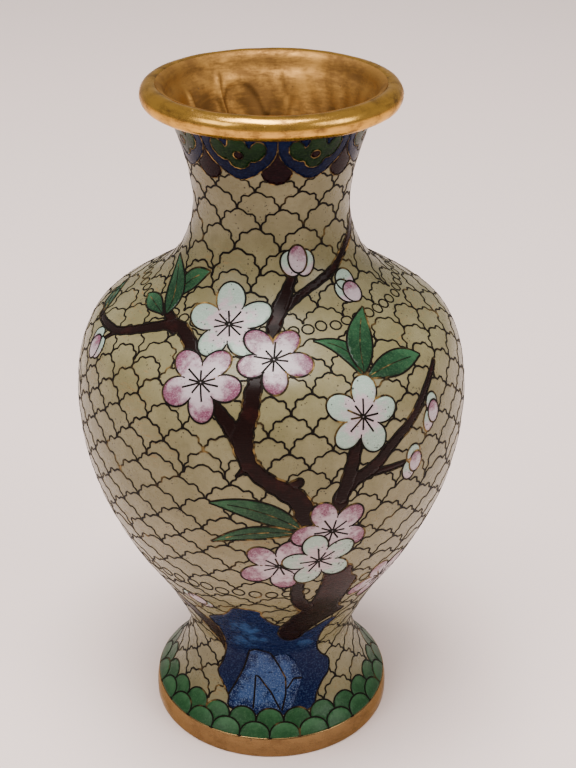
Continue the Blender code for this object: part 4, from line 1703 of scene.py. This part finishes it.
# Front ones first
PICTURE: list[Motif] = [
    Blossom("blossom_lower_white", 14.6, 96.5, 7.6, 4.7, 32, Bloom.WHITE),
    Blossom("blossom_right_white", 26.2, 147.5, 7.6, 4.7, 5, Bloom.WHITE),
    Blossom("blossom_middle_pink", 0.9, 168.3, 7.3, 4.5, 56),
    Blossom("blossom_left_pink", -21.7, 158.8, 7.8, 4.9, 67),
    Blossom("blossom_lower_right_pink", 17.5, 109.5, 7.9, 4.8, 42),
    Blossom("blossom_lower_left_pink", 2.5, 95.0, 8.0, 5.0, 66),
    Blossom("blossom_upper_white", -18.9, 179.6, 8.4, 5.2, 30, Bloom.WHITE),
    Blossom("blossom_side_pink", 47.0, 72.0, 7.6, 4.7, 47),
    Bud("bud_neck", (17.5, 200.6, 6.0, 8.6, 0), ((12.9, 199.4, 6.6, 8.2, 14), (21.9, 199.2, 6.4, 8.2, -14))),
    Bud("bud_shoulder", (47.8, 186.6, 7.0, 7.2, -20),
        ((43.2, 187.6, 6.8, 8.0, 15), (47, 190.8, 7.4, 7.6, -15))),
    Bud("bud_left", (-70.5, 153.8, 6.6, 8.2, 0), ((-71.8, 157.0, 6.4, 6.6, 0), (-67.6, 154.8, 6.2, 7.6, 0))),
    Bud("bud_right", (52.0, 140.4, 5.6, 7.4, 0), ((51.6, 143.4, 5.8, 6.8, 0), (49.6, 138.6, 5.4, 7.8, -10))),
    Bud("bud_lower_right", (43.8, 126.8, 5.6, 7.2, 0),
        ((42.8, 129.9, 6, 6.6, 0), (41.2, 124.9, 5.6, 7.4, 10))),
    Bud("bud_foot", (-33.5, 64.0, 7.0, 7.4, 0), ((-36.5, 64.8, 6.6, 7.0, 0), (-30.6, 62.4, 6.6, 6.0, 0))),
    Leaf("leaf_upper_long", (-50.8, 176.7), (-79.5, 193.5), 7.5, -2.0),
    Leaf("leaf_upper_curled", (-51.4, 177.6), (-40.4, 194.6), 7.0, 4.4, 1.5),
    Leaf("leaf_upper_small", (-51.6, 175.8), (-72.5, 177.8), 5.8, -0.6, 1.3),
    Leaf("leaf_right_tall", (30.0, 160.0), (47.4, 180.8), 8.6, 1.8),
    Leaf("leaf_right_flat", (29.6, 158.4), (53.4, 158.6), 8.0, 1.6, 1.1),
    Leaf("leaf_right_curled", (29.0, 158.6), (16.5, 173.8), 6.2, -4.2),
    Leaf("leaf_lower_long", (8.4, 111.5), (-17.1, 121.0), 7.6, -3.2),
    Leaf("leaf_lower_short", (7.6, 110.0), (-17.5, 105.0), 5.4, -3.0),
    Wood("trunk_upper", [(12, 106, 6), (9.5, 114, 5.6), (8, 122, 6.5), (3, 127, 6), (-2, 131, 5.4),
                         (-6, 136, 5.4), (-7.6, 142, 6.4), (-7.2, 147, 5.6), (-6, 151, 5.2), (-5.6, 156, 5),
                         (-4.5, 161, 4), (-2.5, 163.5, 2.8)]),
    Wood("branch_fork", [(-8.2, 141.5, 4.6), (-11.4, 147, 4.6), (-14.6, 151, 3.8), (-18, 154.5, 2.8)]),
    Wood("branch_flower",
        [(19.5, 122, 4), (21.2, 129, 4.6), (22.4, 134, 4.4), (23.4, 139, 4), (24.6, 143, 3.4)]),
    Wood("branch_right",
        [(18.6, 117, 5), (19.6, 123.5, 5), (22.4, 127, 4.6), (29, 130.8, 4.2), (35.3, 136.7, 3.8),
                          (41.5, 140.8, 3.5), (47.1, 145.8, 3.0), (52.8, 150.8, 2.4), (57.8, 154.2, 1.8)]),
    Wood("branch_twig", [(27, 128.8, 2.4), (33, 128.4, 2.2), (39.3, 128.1, 2)]),
    Wood("branch_neck",
        [(0.4, 176, 4.0), (2.0, 182, 4.6), (4.8, 186.6, 4.8), (8.6, 191, 3.6), (12.3, 195, 2.8)]),
    Wood("branch_neck_long", [(5.6, 185.8, 3.6), (12.0, 188.2, 2.8), (20.3, 190.8, 2.4), (31.5, 193.3, 2.6),
                              (41.5, 195.4, 2.8), (50.3, 197.9, 2.9), (59.6, 200.4, 3.0), (69, 202.5, 3.2),
                              (77.8, 205, 3.5), (92, 208.4, 3.0)]),
    Wood("branch_left", [(-27.5, 167, 4), (-30.8, 170, 4.4), (-35.8, 173.3, 4.4), (-40.1, 174.6, 4.4),
                         (-46, 173.4, 3.6), (-53.9, 169.2, 3.0), (-59.5, 165.8, 2.8), (-65.1, 162.9, 2.4),
                         (-70.8, 161.9, 2.3), (-77, 161, 2), (-84, 160.7, 2)]),
    Wood("trunk_side", [(8.6, 90, 4), (9.0, 84, 4), (9.2, 78, 4.2), (10.6, 72, 4.6), (14, 66, 5.5)]),
    Stump("trunk_base", [
        (3.6, 46), (6, 42), (11.4, 40), (17, 41.5), (19.3, 44.5), (25, 49), (30, 51.5), (38, 55), (34, 58),
        (31.5, 62), (31, 70), (31.5, 77), (31.8, 80.5), (28.5, 84), (27, 90), (22, 92), (18, 90), (17.4, 84),
        (17, 77), (16, 70.5), (13.5, 65), (11, 60), (8, 55), (5, 51),
    ]),
    ROCK,
    Wood("branch_foot", [(-29, 30, 5), (-32, 36, 6.4), (-37.5, 43, 7), (-44.5, 49, 5.6), (-54, 55.5, 4)]),
]

# Small branches and leaves that have no node of their own
EXTRAS: list[Motif] = [
    Leaf("", (-83.5, 162.5), (-101, 169), 5.0, 1.0),
    Wood("", [(-41, 173, 3.2), (-45, 175.6, 3.4), (-50.5, 177.2, 3.0)]),
    Wood("", [(-63.5, 163.4, 1.8), (-65.5, 161, 1.5), (-67, 158.6, 1.3)]),
    Wood("", [(7.4, 129.6, 3), (5, 127.6, 4)]),
    Wood("", [(-9.2, 131.6, 0.8), (-6.6, 134.2, 2.4), (-5, 135, 3)]),
]


@dataclass
class Picture:
    """The plum tree on its rock: builds every motif, each behind the ones before it."""

    enameller: Enameller
    bands: list[np.ndarray]
    motifs: list[Motif] = field(default_factory=lambda: PICTURE + EXTRAS)

    def covers(self) -> list[np.ndarray]:
        """The outlines of everything drawn, which the cell net stops at."""
        skin = self.enameller.skin
        found = []
        for motif in self.motifs:
            found += motif.outlines(skin)
            if isinstance(motif, Bud):
                found += [glaze.outline for glaze in motif.husk_glazes(skin)]
        return found

    def build(self) -> None:
        """Lay every motif, front ones first."""
        skin = self.enameller.skin
        fronts = list(self.bands)
        extra = 0
        for motif in self.motifs:
            title = motif.node
            if not title:
                extra += 1
                title = f"side_{'leaf' if isinstance(motif, Leaf) else 'twig'}_{extra}"
            glazes = motif.glazes(skin)
            outlines = [glaze.outline for glaze in glazes]
            nodes = [motif.node] if motif.node else []
            glaze_covers = fronts
            if isinstance(motif, Rock):
                self.rock_face(motif, fronts)
                glaze_covers = [*fronts, motif.face_glaze(skin).outline]
            self.enameller.set_enamel(title + "_glaze", glazes, glaze_covers, (motif.finish, motif.slot),
                nodes)
            wire_covers = [*fronts, *(self.same_kind(motif) if motif.joins else [])]
            if isinstance(motif, Bud):
                outlines += self.husks(motif, title, [*fronts, *outlines])
            self.enameller.set_wire(title + "_wire", motif.lines(skin), wire_covers, Finish.MOTIF_WIRE)
            strokes = motif.inner_lines(skin)
            self.enameller.set_wire(title + "_inner_wire", strokes, fronts, motif.inner_finish)
            fronts += outlines

    def husks(self, bud: Bud, title: str, fronts: list[np.ndarray]) -> list[np.ndarray]:
        """Lay a bud's husks behind its heart.

        Args:
            bud: The bud.
            title: The name that its pieces start with.
            fronts: Outlines of what lies in front of them.

        Returns:
            The husks' outlines.
        """
        husks = bud.husk_glazes(self.enameller.skin)
        outlines = [husk.outline for husk in husks]
        self.enameller.set_enamel(title + "_husks", husks, fronts, (Finish.WHITE, Slot.WHITE))
        lines = [Line(outline, closed=True) for outline in outlines]
        self.enameller.set_wire(title + "_husk_wire", lines, fronts, Finish.MOTIF_WIRE)
        return outlines

    def same_kind(self, motif: Motif) -> list[np.ndarray]:
        """The outlines that this motif grows out of, where no wire runs between them."""
        skin = self.enameller.skin
        return [
            outline
            for other in self.motifs
            if other is not motif and other.joins == motif.joins
            for outline in other.outlines(skin)
        ]

    def rock_face(self, rock: Rock, fronts: list[np.ndarray]) -> None:
        """Lay the rock's crystal face and the wires in it."""
        face = rock.face_glaze(self.enameller.skin)
        self.enameller.set_enamel("rock_face_glaze", [face], fronts, (Finish.CRYSTAL, Slot.BLUE))
        scale = (math.radians(1) * rock.radius, 1.0)
        veins = [Line(resampled(np.array(vein, float), 1.2, scale), rock.vein_width) for vein in rock.veins]
        self.enameller.set_wire("rock_vein_wire", veins, fronts, Finish.WIRE)


# ---------------------------------------------------------------- bands


@dataclass
class ScaleBand:
    """The two rows of green scales above the foot ring."""

    enameller: Enameller
    count: int = 24
    phase: float = 6.7
    upper_top: float = 10.2
    lower_top: float = 5.6
    foot: float = 0.15
    unevenness: float = 0.35
    overlap: float = 4.4

    def scale(self, middle: float, top: float, bottom: float) -> np.ndarray:
        """One scale's outline: straight sides under a round top."""
        half = 180 / self.count
        rise = min(4.6, top - bottom)
        turn = np.linspace(0, math.pi, 13)
        arch = np.stack([middle + half * np.cos(turn), top - rise + rise * np.sin(turn) ** 0.85], axis=1)
        return np.vstack([[(middle - half, bottom), (middle + half, bottom)], arch])

    def rows(self) -> tuple[list[np.ndarray], list[np.ndarray]]:
        """The lower and the upper scales' outlines."""
        pitch = 360 / self.count
        lower = [self.scale(self.phase + pitch * at, self.lower_top, self.foot) for at in range(self.count)]
        upper = []
        for at in range(self.count):
            top = self.upper_top + self.unevenness * math.sin(2.3 * at)
            upper.append(self.scale(self.phase + pitch * (at + 0.5), top, self.lower_top - self.overlap))
        return lower, upper

    def covers(self) -> list[np.ndarray]:
        """The outlines that hide what is behind, also one turn back and forth."""
        _, upper = self.rows()
        return turned_copies(upper)

    def build(self) -> None:
        """Lay both rows, the lower one in front."""
        lower, upper = self.rows()
        chance = np.random.default_rng(SEED)

        def glaze(outline: np.ndarray, dim: float) -> Glaze:
            """One scale's field, paler at its top."""
            top, bottom = outline[:, 1].max(), outline[:, 1].min()

            def spread(places: np.ndarray) -> np.ndarray:
                """Paler upwards."""
                return (places[:, 1] - bottom) / (top - bottom) * 0.8 + dim

            return Glaze(outline, spread, float(chance.uniform(0.2, 0.8)))

        near = [glaze(outline, 0.25) for outline in lower]
        far = [glaze(outline, 0.0) for outline in upper]
        front = turned_copies(lower)
        dress = (Finish.SCALE, Slot.GREEN)
        self.enameller.set_enamel("green_scales_lower", near, [], dress, ["scale_band_enamel"])
        self.enameller.set_enamel("green_scales_upper", far, front, dress)
        lines = [Line(outline, closed=True) for outline in lower]
        self.enameller.set_wire("green_scales_lower_wire", lines, [], Finish.WIRE)
        lines = [Line(outline, closed=True) for outline in upper]
        self.enameller.set_wire("green_scales_upper_wire", lines, front, Finish.WIRE)


def turned_copies(outlines: list[np.ndarray]) -> list[np.ndarray]:
    """These outlines and the same a whole turn back and forth."""
    return [outline + (turn, 0) for turn in (-360, 0, 360) for outline in outlines]


@dataclass
class CollarBorder:
    """The border under the mouth rim: blue lappets with green cloud heads, and maroon drops between them."""

    enameller: Enameller
    count: int = 8
    phase: float = 3.5
    top: float = 243.4
    wire_width: float = 0.34

    lappet_side = ((0, 226.3), (3.6, 226.6), (7, 227.5), (11, 228.8), (15, 230.6), (18, 232), (20.5, 234),
                   (22, 236), (22.5, 238.5))
    drop_side = ((0, 224.9), (4.5, 225.4), (8, 226.8), (9.6, 228.6), (8.6, 231.4), (5.2, 234.4), (2, 236.8))
    cloud_side = ((0, 230.2), (3.2, 230.5), (5.4, 231.4), (6.4, 232.6), (7.4, 232.9), (9.6, 232.9),
                  (13, 233.9), (16, 236), (16.4, 238.4), (14.6, 240.2), (11.4, 240.6), (8.6, 239.2),
                  (7.2, 237.6), (5.8, 238.4), (4.8, 240.4))

    def mirrored(self, side: Iterable[Place], top: float) -> np.ndarray:
        """A whole outline from its right side, closed at the top if it is open there."""
        right = np.array(list(side), float)
        if right[-1, 0] > 4:
            right = np.vstack([right, (right[-1, 0], top)])
        left = right[right[:, 0] > 0][::-1] * (-1, 1)
        return np.vstack([right, left])

    def copies(self, outline: np.ndarray, offset: float) -> list[np.ndarray]:
        """The outline once for each lappet, this share of a pitch on from the first divide."""
        pitch = 360 / self.count
        return [outline + (self.phase + pitch * (at + offset), 0) for at in range(self.count)]

    def shapes(self) -> dict[str, list[np.ndarray]]:
        """Every outline, by part."""
        eye_turn = np.linspace(0, 2 * math.pi, 14, endpoint=False)
        eye = np.stack([3.0 * np.cos(eye_turn), 234.9 + 1.4 * np.sin(eye_turn)], axis=1)
        return {
            "eye": self.copies(eye, 0.5),
            "cloud": self.copies(self.mirrored(self.cloud_side, self.top), 0.5),
            "lappet": self.copies(self.mirrored(self.lappet_side, self.top), 0.5),
            "drop": self.copies(self.mirrored(self.drop_side, self.top), 0.0),
        }

    def covers(self) -> list[np.ndarray]:
        """The outlines that the cell net stops at."""
        shapes = self.shapes()
        return turned_copies(shapes["lappet"] + shapes["drop"])

    def shade(self, places: np.ndarray) -> np.ndarray:
        """Paler upwards."""
        return 0.4 + 0.06 * (places[:, 1] - 234)

    def build(self) -> None:
        """Lay eyes, clouds, drops and lappets, front ones first."""
        chance = np.random.default_rng(SEED + 1)
        shapes = self.shapes()
        dress = {
            "eye": (Finish.LAPPET_MAROON, Slot.BROWN),
            "cloud": (Finish.LAPPET_GREEN, Slot.GREEN),
            "lappet": (Finish.LAPPET_BLUE, Slot.BLUE),
            "drop": (Finish.LAPPET_MAROON, Slot.BROWN),
        }
        fronts: list[np.ndarray] = []
        for part, outlines in shapes.items():
            glazes = [Glaze(outline, self.shade, float(chance.uniform(0.2, 0.8))) for outline in outlines]
            finish, slot = dress[part]
            nodes = ["collar_border_enamel"] if part == "lappet" else []
            self.enameller.set_enamel(f"collar_{part}_glaze", glazes, fronts, (finish, slot), nodes)
            lines = [Line(outline, self.wire_width, closed=True) for outline in outlines]
            self.enameller.set_wire(f"collar_{part}_wire", lines, fronts, Finish.COLLAR_WIRE)
            fronts += turned_copies(outlines)


@dataclass
class Zone:
    """One zone of the cell net: its rows' top levels, and what it stands on and ends at."""

    name: str
    tops: list[float]
    floor: float
    ceiling: float


@dataclass
class CellNet:
    """The net of scalloped cells on the ground, with two chains of rings between its zones."""

    enameller: Enameller
    covers: list[np.ndarray]
    zones: list[Zone] = field(default_factory=lambda: [
        Zone("foot", [16, 21, 26.5, 32, 37.5, 43, 48.5, 54, 59.5, 64.6, 69.8, 74.6], 9.0, 75.6),
        Zone("body",
            [85, 91, 97.5, 103.5, 109, 115, 121, 127.5, 133, 138.5, 143.7, 149.8, 156.3, 162.3, 168.8,
                      175.0], 80.0, 176.4),
        Zone("neck", [184.5, 190.5, 197, 203.3, 209.8, 216, 221.5, 227, 232], 180.2, 233.0),
    ])
    pitches: tuple = ((10, 13.0), (40, 13.6), (70, 15.0), (85, 16.4), (97, 16.2), (121, 15.6), (143, 13.9),
                      (156, 12.2), (185, 12.6), (235, 12.8))
    chains: tuple = ((77.8, 60, 4.3), (178.2, 57, 3.6))
    cusps: tuple = ((0.97, 0.03), (0.77, 0.45), (0.40, 0.81))
    cheek: float = 0.21
    bulge: float = 0.38
    crown: float = 0.29
    wire_width: float = 0.72
    ring_width: float = 0.6
    unevenness: float = 0.28

    def build(self) -> None:
        """Lay the net zone by zone, then the chains."""
        chance = np.random.default_rng(SEED + 2)
        for zone in self.zones:
            lines = self.zone_lines(zone, chance)
            self.enameller.set_wire(f"cell_net_{zone.name}", lines, self.covers, Finish.WIRE)
        for number, (level, count, size) in enumerate(self.chains):
            lines = self.chain_lines(level, count, size, chance)
            self.enameller.set_wire(f"ring_chain_{number + 1}", lines, self.covers, Finish.WIRE)

    def cells_round(self, level: float) -> int:
        """The number of cells in a row at this level."""
        levels, sizes = zip(*self.pitches)
        around = 360 * self.enameller.skin.degree(level)
        return round(around / float(np.interp(level, levels, sizes)))

    def next_row(self, below: np.ndarray, count: int, chance: np.random.Generator) -> np.ndarray:
        """Set a row's cells over the gaps of the row below.

        Args:
            below: The azimuths of the cells below.
            count: The number of cells wanted.
            chance: The source of hand-made unevenness.

        Returns:
            The azimuths of the new cells.
        """
        row = (below + np.append(below[1:], below[0] + 360)) / 2
        while len(row) < count:
            gaps = np.append(row[1:], row[0] + 360) - row
            at = int(np.argmax(gaps + chance.uniform(0, 0.5, len(gaps))))
            row = np.insert(row, at + 1, row[at] + gaps[at] / 2)
        while len(row) > count:
            gaps = np.append(row[1:], row[0] + 360) - row
            at = int(np.argmin(gaps + chance.uniform(0, 0.5, len(gaps))))
            row = np.delete(row, at)
        for _ in range(10):
            ahead = np.append(row[1:], row[0] + 360)
            behind = np.append(row[-1] - 360, row[:-1])
            row = row + 0.3 * (ahead + behind - 2 * row) / 2
        pitch = 360 / count
        return np.sort(row + chance.normal(0, 0.045 * pitch, count))

    def zone_lines(self, zone: Zone, chance: np.random.Generator) -> list[Line]:
        """All the cell wires of one zone, from its lowest row up."""
        lines: list[Line] = []
        count = self.cells_round(zone.tops[0])
        row = -180 + 360 / count * (np.arange(count) + chance.uniform(0, 1))
        feet = np.full(720, zone.floor)
        grid = np.linspace(-180, 180, 720, endpoint=False)
        for top in zone.tops:
            count = self.cells_round(top)
            row = self.next_row(row, count, chance)
            feet, made = self.row_lines(row, top, feet, grid, zone, chance)
            lines += made
        return lines

    def row_lines(
        self, row: np.ndarray, top: float, below: np.ndarray, grid: np.ndarray, zone: Zone,
        chance: np.random.Generator,
    ) -> tuple[np.ndarray, list[Line]]:
        """Draw one row of cells.

        Args:
            row: The cells' azimuths.
            top: The row's top level.
            below: The level of the wires below, at each azimuth of the grid.
            grid: The azimuths that below is given at.
            zone: The zone that the row is in.
            chance: The source of hand-made unevenness.

        Returns:
            The level of the row's own wires along the grid, and the wires.
        """
        lines = []
        crest = below.copy()
        divides = (row + np.append(row[-1] - 360, row[:-1])) / 2
        count = len(row)
        for at, middle in enumerate(row):
            left = divides[at]
            right = divides[(at + 1) % count] + (360 if at == count - 1 else 0)
            peak = top + chance.normal(0, self.unevenness)
            outline = self.scallop(middle, left, right, peak, grid, below)
            arc = outline[(outline[:, 1] <= zone.ceiling)]
            if len(arc) > 3:
                lines.append(Line(arc, self.wire_width * chance.uniform(0.86, 1.1)))
            turn = (grid - left) % 360
            span = right - left
            own = turn < span
            order = np.argsort(outline[:, 0])
            spread = np.interp(turn[own] + left, outline[order, 0], outline[order, 1])
            crest[own] = np.maximum(crest[own], spread)
        return crest, lines

    def scallop(
        self, middle: float, left: float, right: float, peak: float, grid: np.ndarray, below: np.ndarray
    ) -> np.ndarray:
        """Draw one cell's arch of five lobes, its feet on the wires below.

        Args:
            middle: The azimuth of its top.
            left: The azimuth of its left foot.
            right: The azimuth of its right foot.
            peak: The level of its top.
            grid: The azimuths that below is given at.
            below: The level of the wires below.

        Returns:
            Rows of (azimuth, level), from left to right.
        """
        skin = self.enameller.skin
        wide = skin.degree(peak)
        feet = [float(np.interp((edge + 180) % 360 - 180, grid, below)) for edge in (left, right)]
        corners = []
        for side, edge, foot in ((-1, left, feet[0]), (1, right, feet[1])):
            half = abs(edge - middle)
            drop = peak - foot
            points = [(middle + side * half * out, foot + drop * up) for out, up in self.cusps]
            corners.append([(edge, foot)] + points if side < 0 else points[::-1] + [(edge, foot)])
        corners = np.array(corners[0] + corners[1])
        flat = corners * (wide, 1.0)
        found = [flat[:1]]
        for number, (start, end) in enumerate(zip(flat, flat[1:])):
            chord = end - start
            steps = 1 if number in (0, len(flat) - 2) else (4 if number == 3 else 3)
            share = np.linspace(0, 1, steps + 1)[1:, None]
            normal = np.array([-chord[1], chord[0]])
            bulge = {0: 0.0, 1: self.cheek, 2: self.bulge, 3: self.crown}[min(number, len(flat) - 2 - number)]
            found.append(start + chord * share + normal * bulge * 4 * share * (1 - share))
        return np.vstack(found) / (wide, 1.0)

    def chain_lines(self, level: float, count: int, size: float, chance: np.random.Generator) -> list[Line]:
        """The rings of one chain.

        Args:
            level: The chain's level.
            count: The number of rings round.
            size: A ring's size across, in millimetres.
            chance: The source of hand-made unevenness.

        Returns:
            The rings.
        """
        lines = []
        for at in range(count):
            azimuth = -180 + 360 * (at + chance.uniform(-0.08, 0.08)) / count
            turn = np.linspace(0, 2 * math.pi, 12, endpoint=False)
            wide, tall = size * chance.uniform(0.9, 1.1), size * chance.uniform(0.86, 1.02)
            ring = np.stack([wide / 2 * np.cos(turn), tall / 2 * np.sin(turn)], axis=1)
            places = self.enameller.skin.shifted((azimuth, level + chance.normal(0, 0.25)), ring)
            lines.append(Line(places, self.ring_width, closed=True))
        return lines


# ---------------------------------------------------------------- studio


@dataclass
class AreaLamp:
    """One soft lamp: where it is, what it looks at, its size and its power."""

    name: str
    place: tuple[float, float, float]
    size: float
    watts: float
    colour: Colour = (1.0, 0.97, 0.94)

    def build(self, target: Vector) -> None:
        """Add the lamp, turned to the target."""
        lamp = bpy.data.lights.new(self.name, "AREA")
        lamp.shape = "SQUARE"
        lamp.size = self.size
        lamp.energy = self.watts
        lamp.color = self.colour
        holder = bpy.data.objects.new(self.name, lamp)
        holder.location = self.place
        holder.rotation_euler = (target - Vector(self.place)).to_track_quat("-Z", "Y").to_euler()
        bpy.context.scene.collection.objects.link(holder)


@dataclass
class Studio:
    """The pale table, the soft lamps, the sky and the camera."""

    wardrobe: Wardrobe
    camera_place: tuple[float, float, float] = (0.0, -0.4314, 0.3539)
    camera_tilt: float = 62.13
    lens: float = 68.05
    shift: float = 0.0217
    table_radius: float = 6.0
    target: tuple[float, float, float] = (0, 0, 0.11)
    sky: Colour = (0.95, 0.92, 0.91)
    sky_strength: float = 0.55
    lamps: tuple[AreaLamp, ...] = (
        AreaLamp("ceiling", (-0.12, -0.2, 1.7), 0.9, 50.0),
        AreaLamp("window_left", (-1.5, -1.1, 1.5), 1.0, 14.0),
        AreaLamp("window_right", (1.6, -0.9, 1.3), 0.9, 17.0),
    )

    def build(self) -> None:
        """Set the table, light it and place the camera."""
        Bench.clear()
        bpy.ops.mesh.primitive_circle_add(vertices=96, radius=self.table_radius, fill_type="NGON")
        table = bpy.context.object
        table.name = table.data.name = "pale_table"
        table.data.materials.append(self.wardrobe[Finish.TABLE])
        for lamp in self.lamps:
            lamp.build(Vector(self.target))
        world = bpy.data.worlds.new("soft_sky")
        world.use_nodes = True
        backdrop = world.node_tree.nodes["Background"]
        backdrop.inputs["Color"].default_value = (*self.sky, 1.0)
        backdrop.inputs["Strength"].default_value = self.sky_strength
        bpy.context.scene.world = world
        lens = bpy.data.cameras.new("view")
        lens.lens = self.lens
        lens.sensor_width = 36.0
        lens.shift_x = self.shift
        camera = bpy.data.objects.new("view", lens)
        camera.location = self.camera_place
        camera.rotation_euler = (math.radians(self.camera_tilt), 0, 0)
        bpy.context.scene.collection.objects.link(camera)
        bpy.context.scene.camera = camera


def main() -> None:
    """Build the vase, piece by piece, and set the studio."""
    logging.basicConfig(level=logging.INFO, format="%(name)s %(message)s")
    skin = VaseSkin.from_frame()
    wardrobe = Wardrobe()
    enameller = Enameller(skin, wardrobe)
    MetalBody(skin, wardrobe).build()
    EnamelGround(skin, wardrobe).build()
    scales = ScaleBand(enameller)
    scales.build()
    picture = Picture(enameller, scales.covers())
    picture.build()
    collar = CollarBorder(enameller)
    collar.build()
    CellNet(enameller, picture.covers() + collar.covers() + scales.covers()).build()
    Studio(wardrobe).build()


if __name__ == "__main__":
    main()
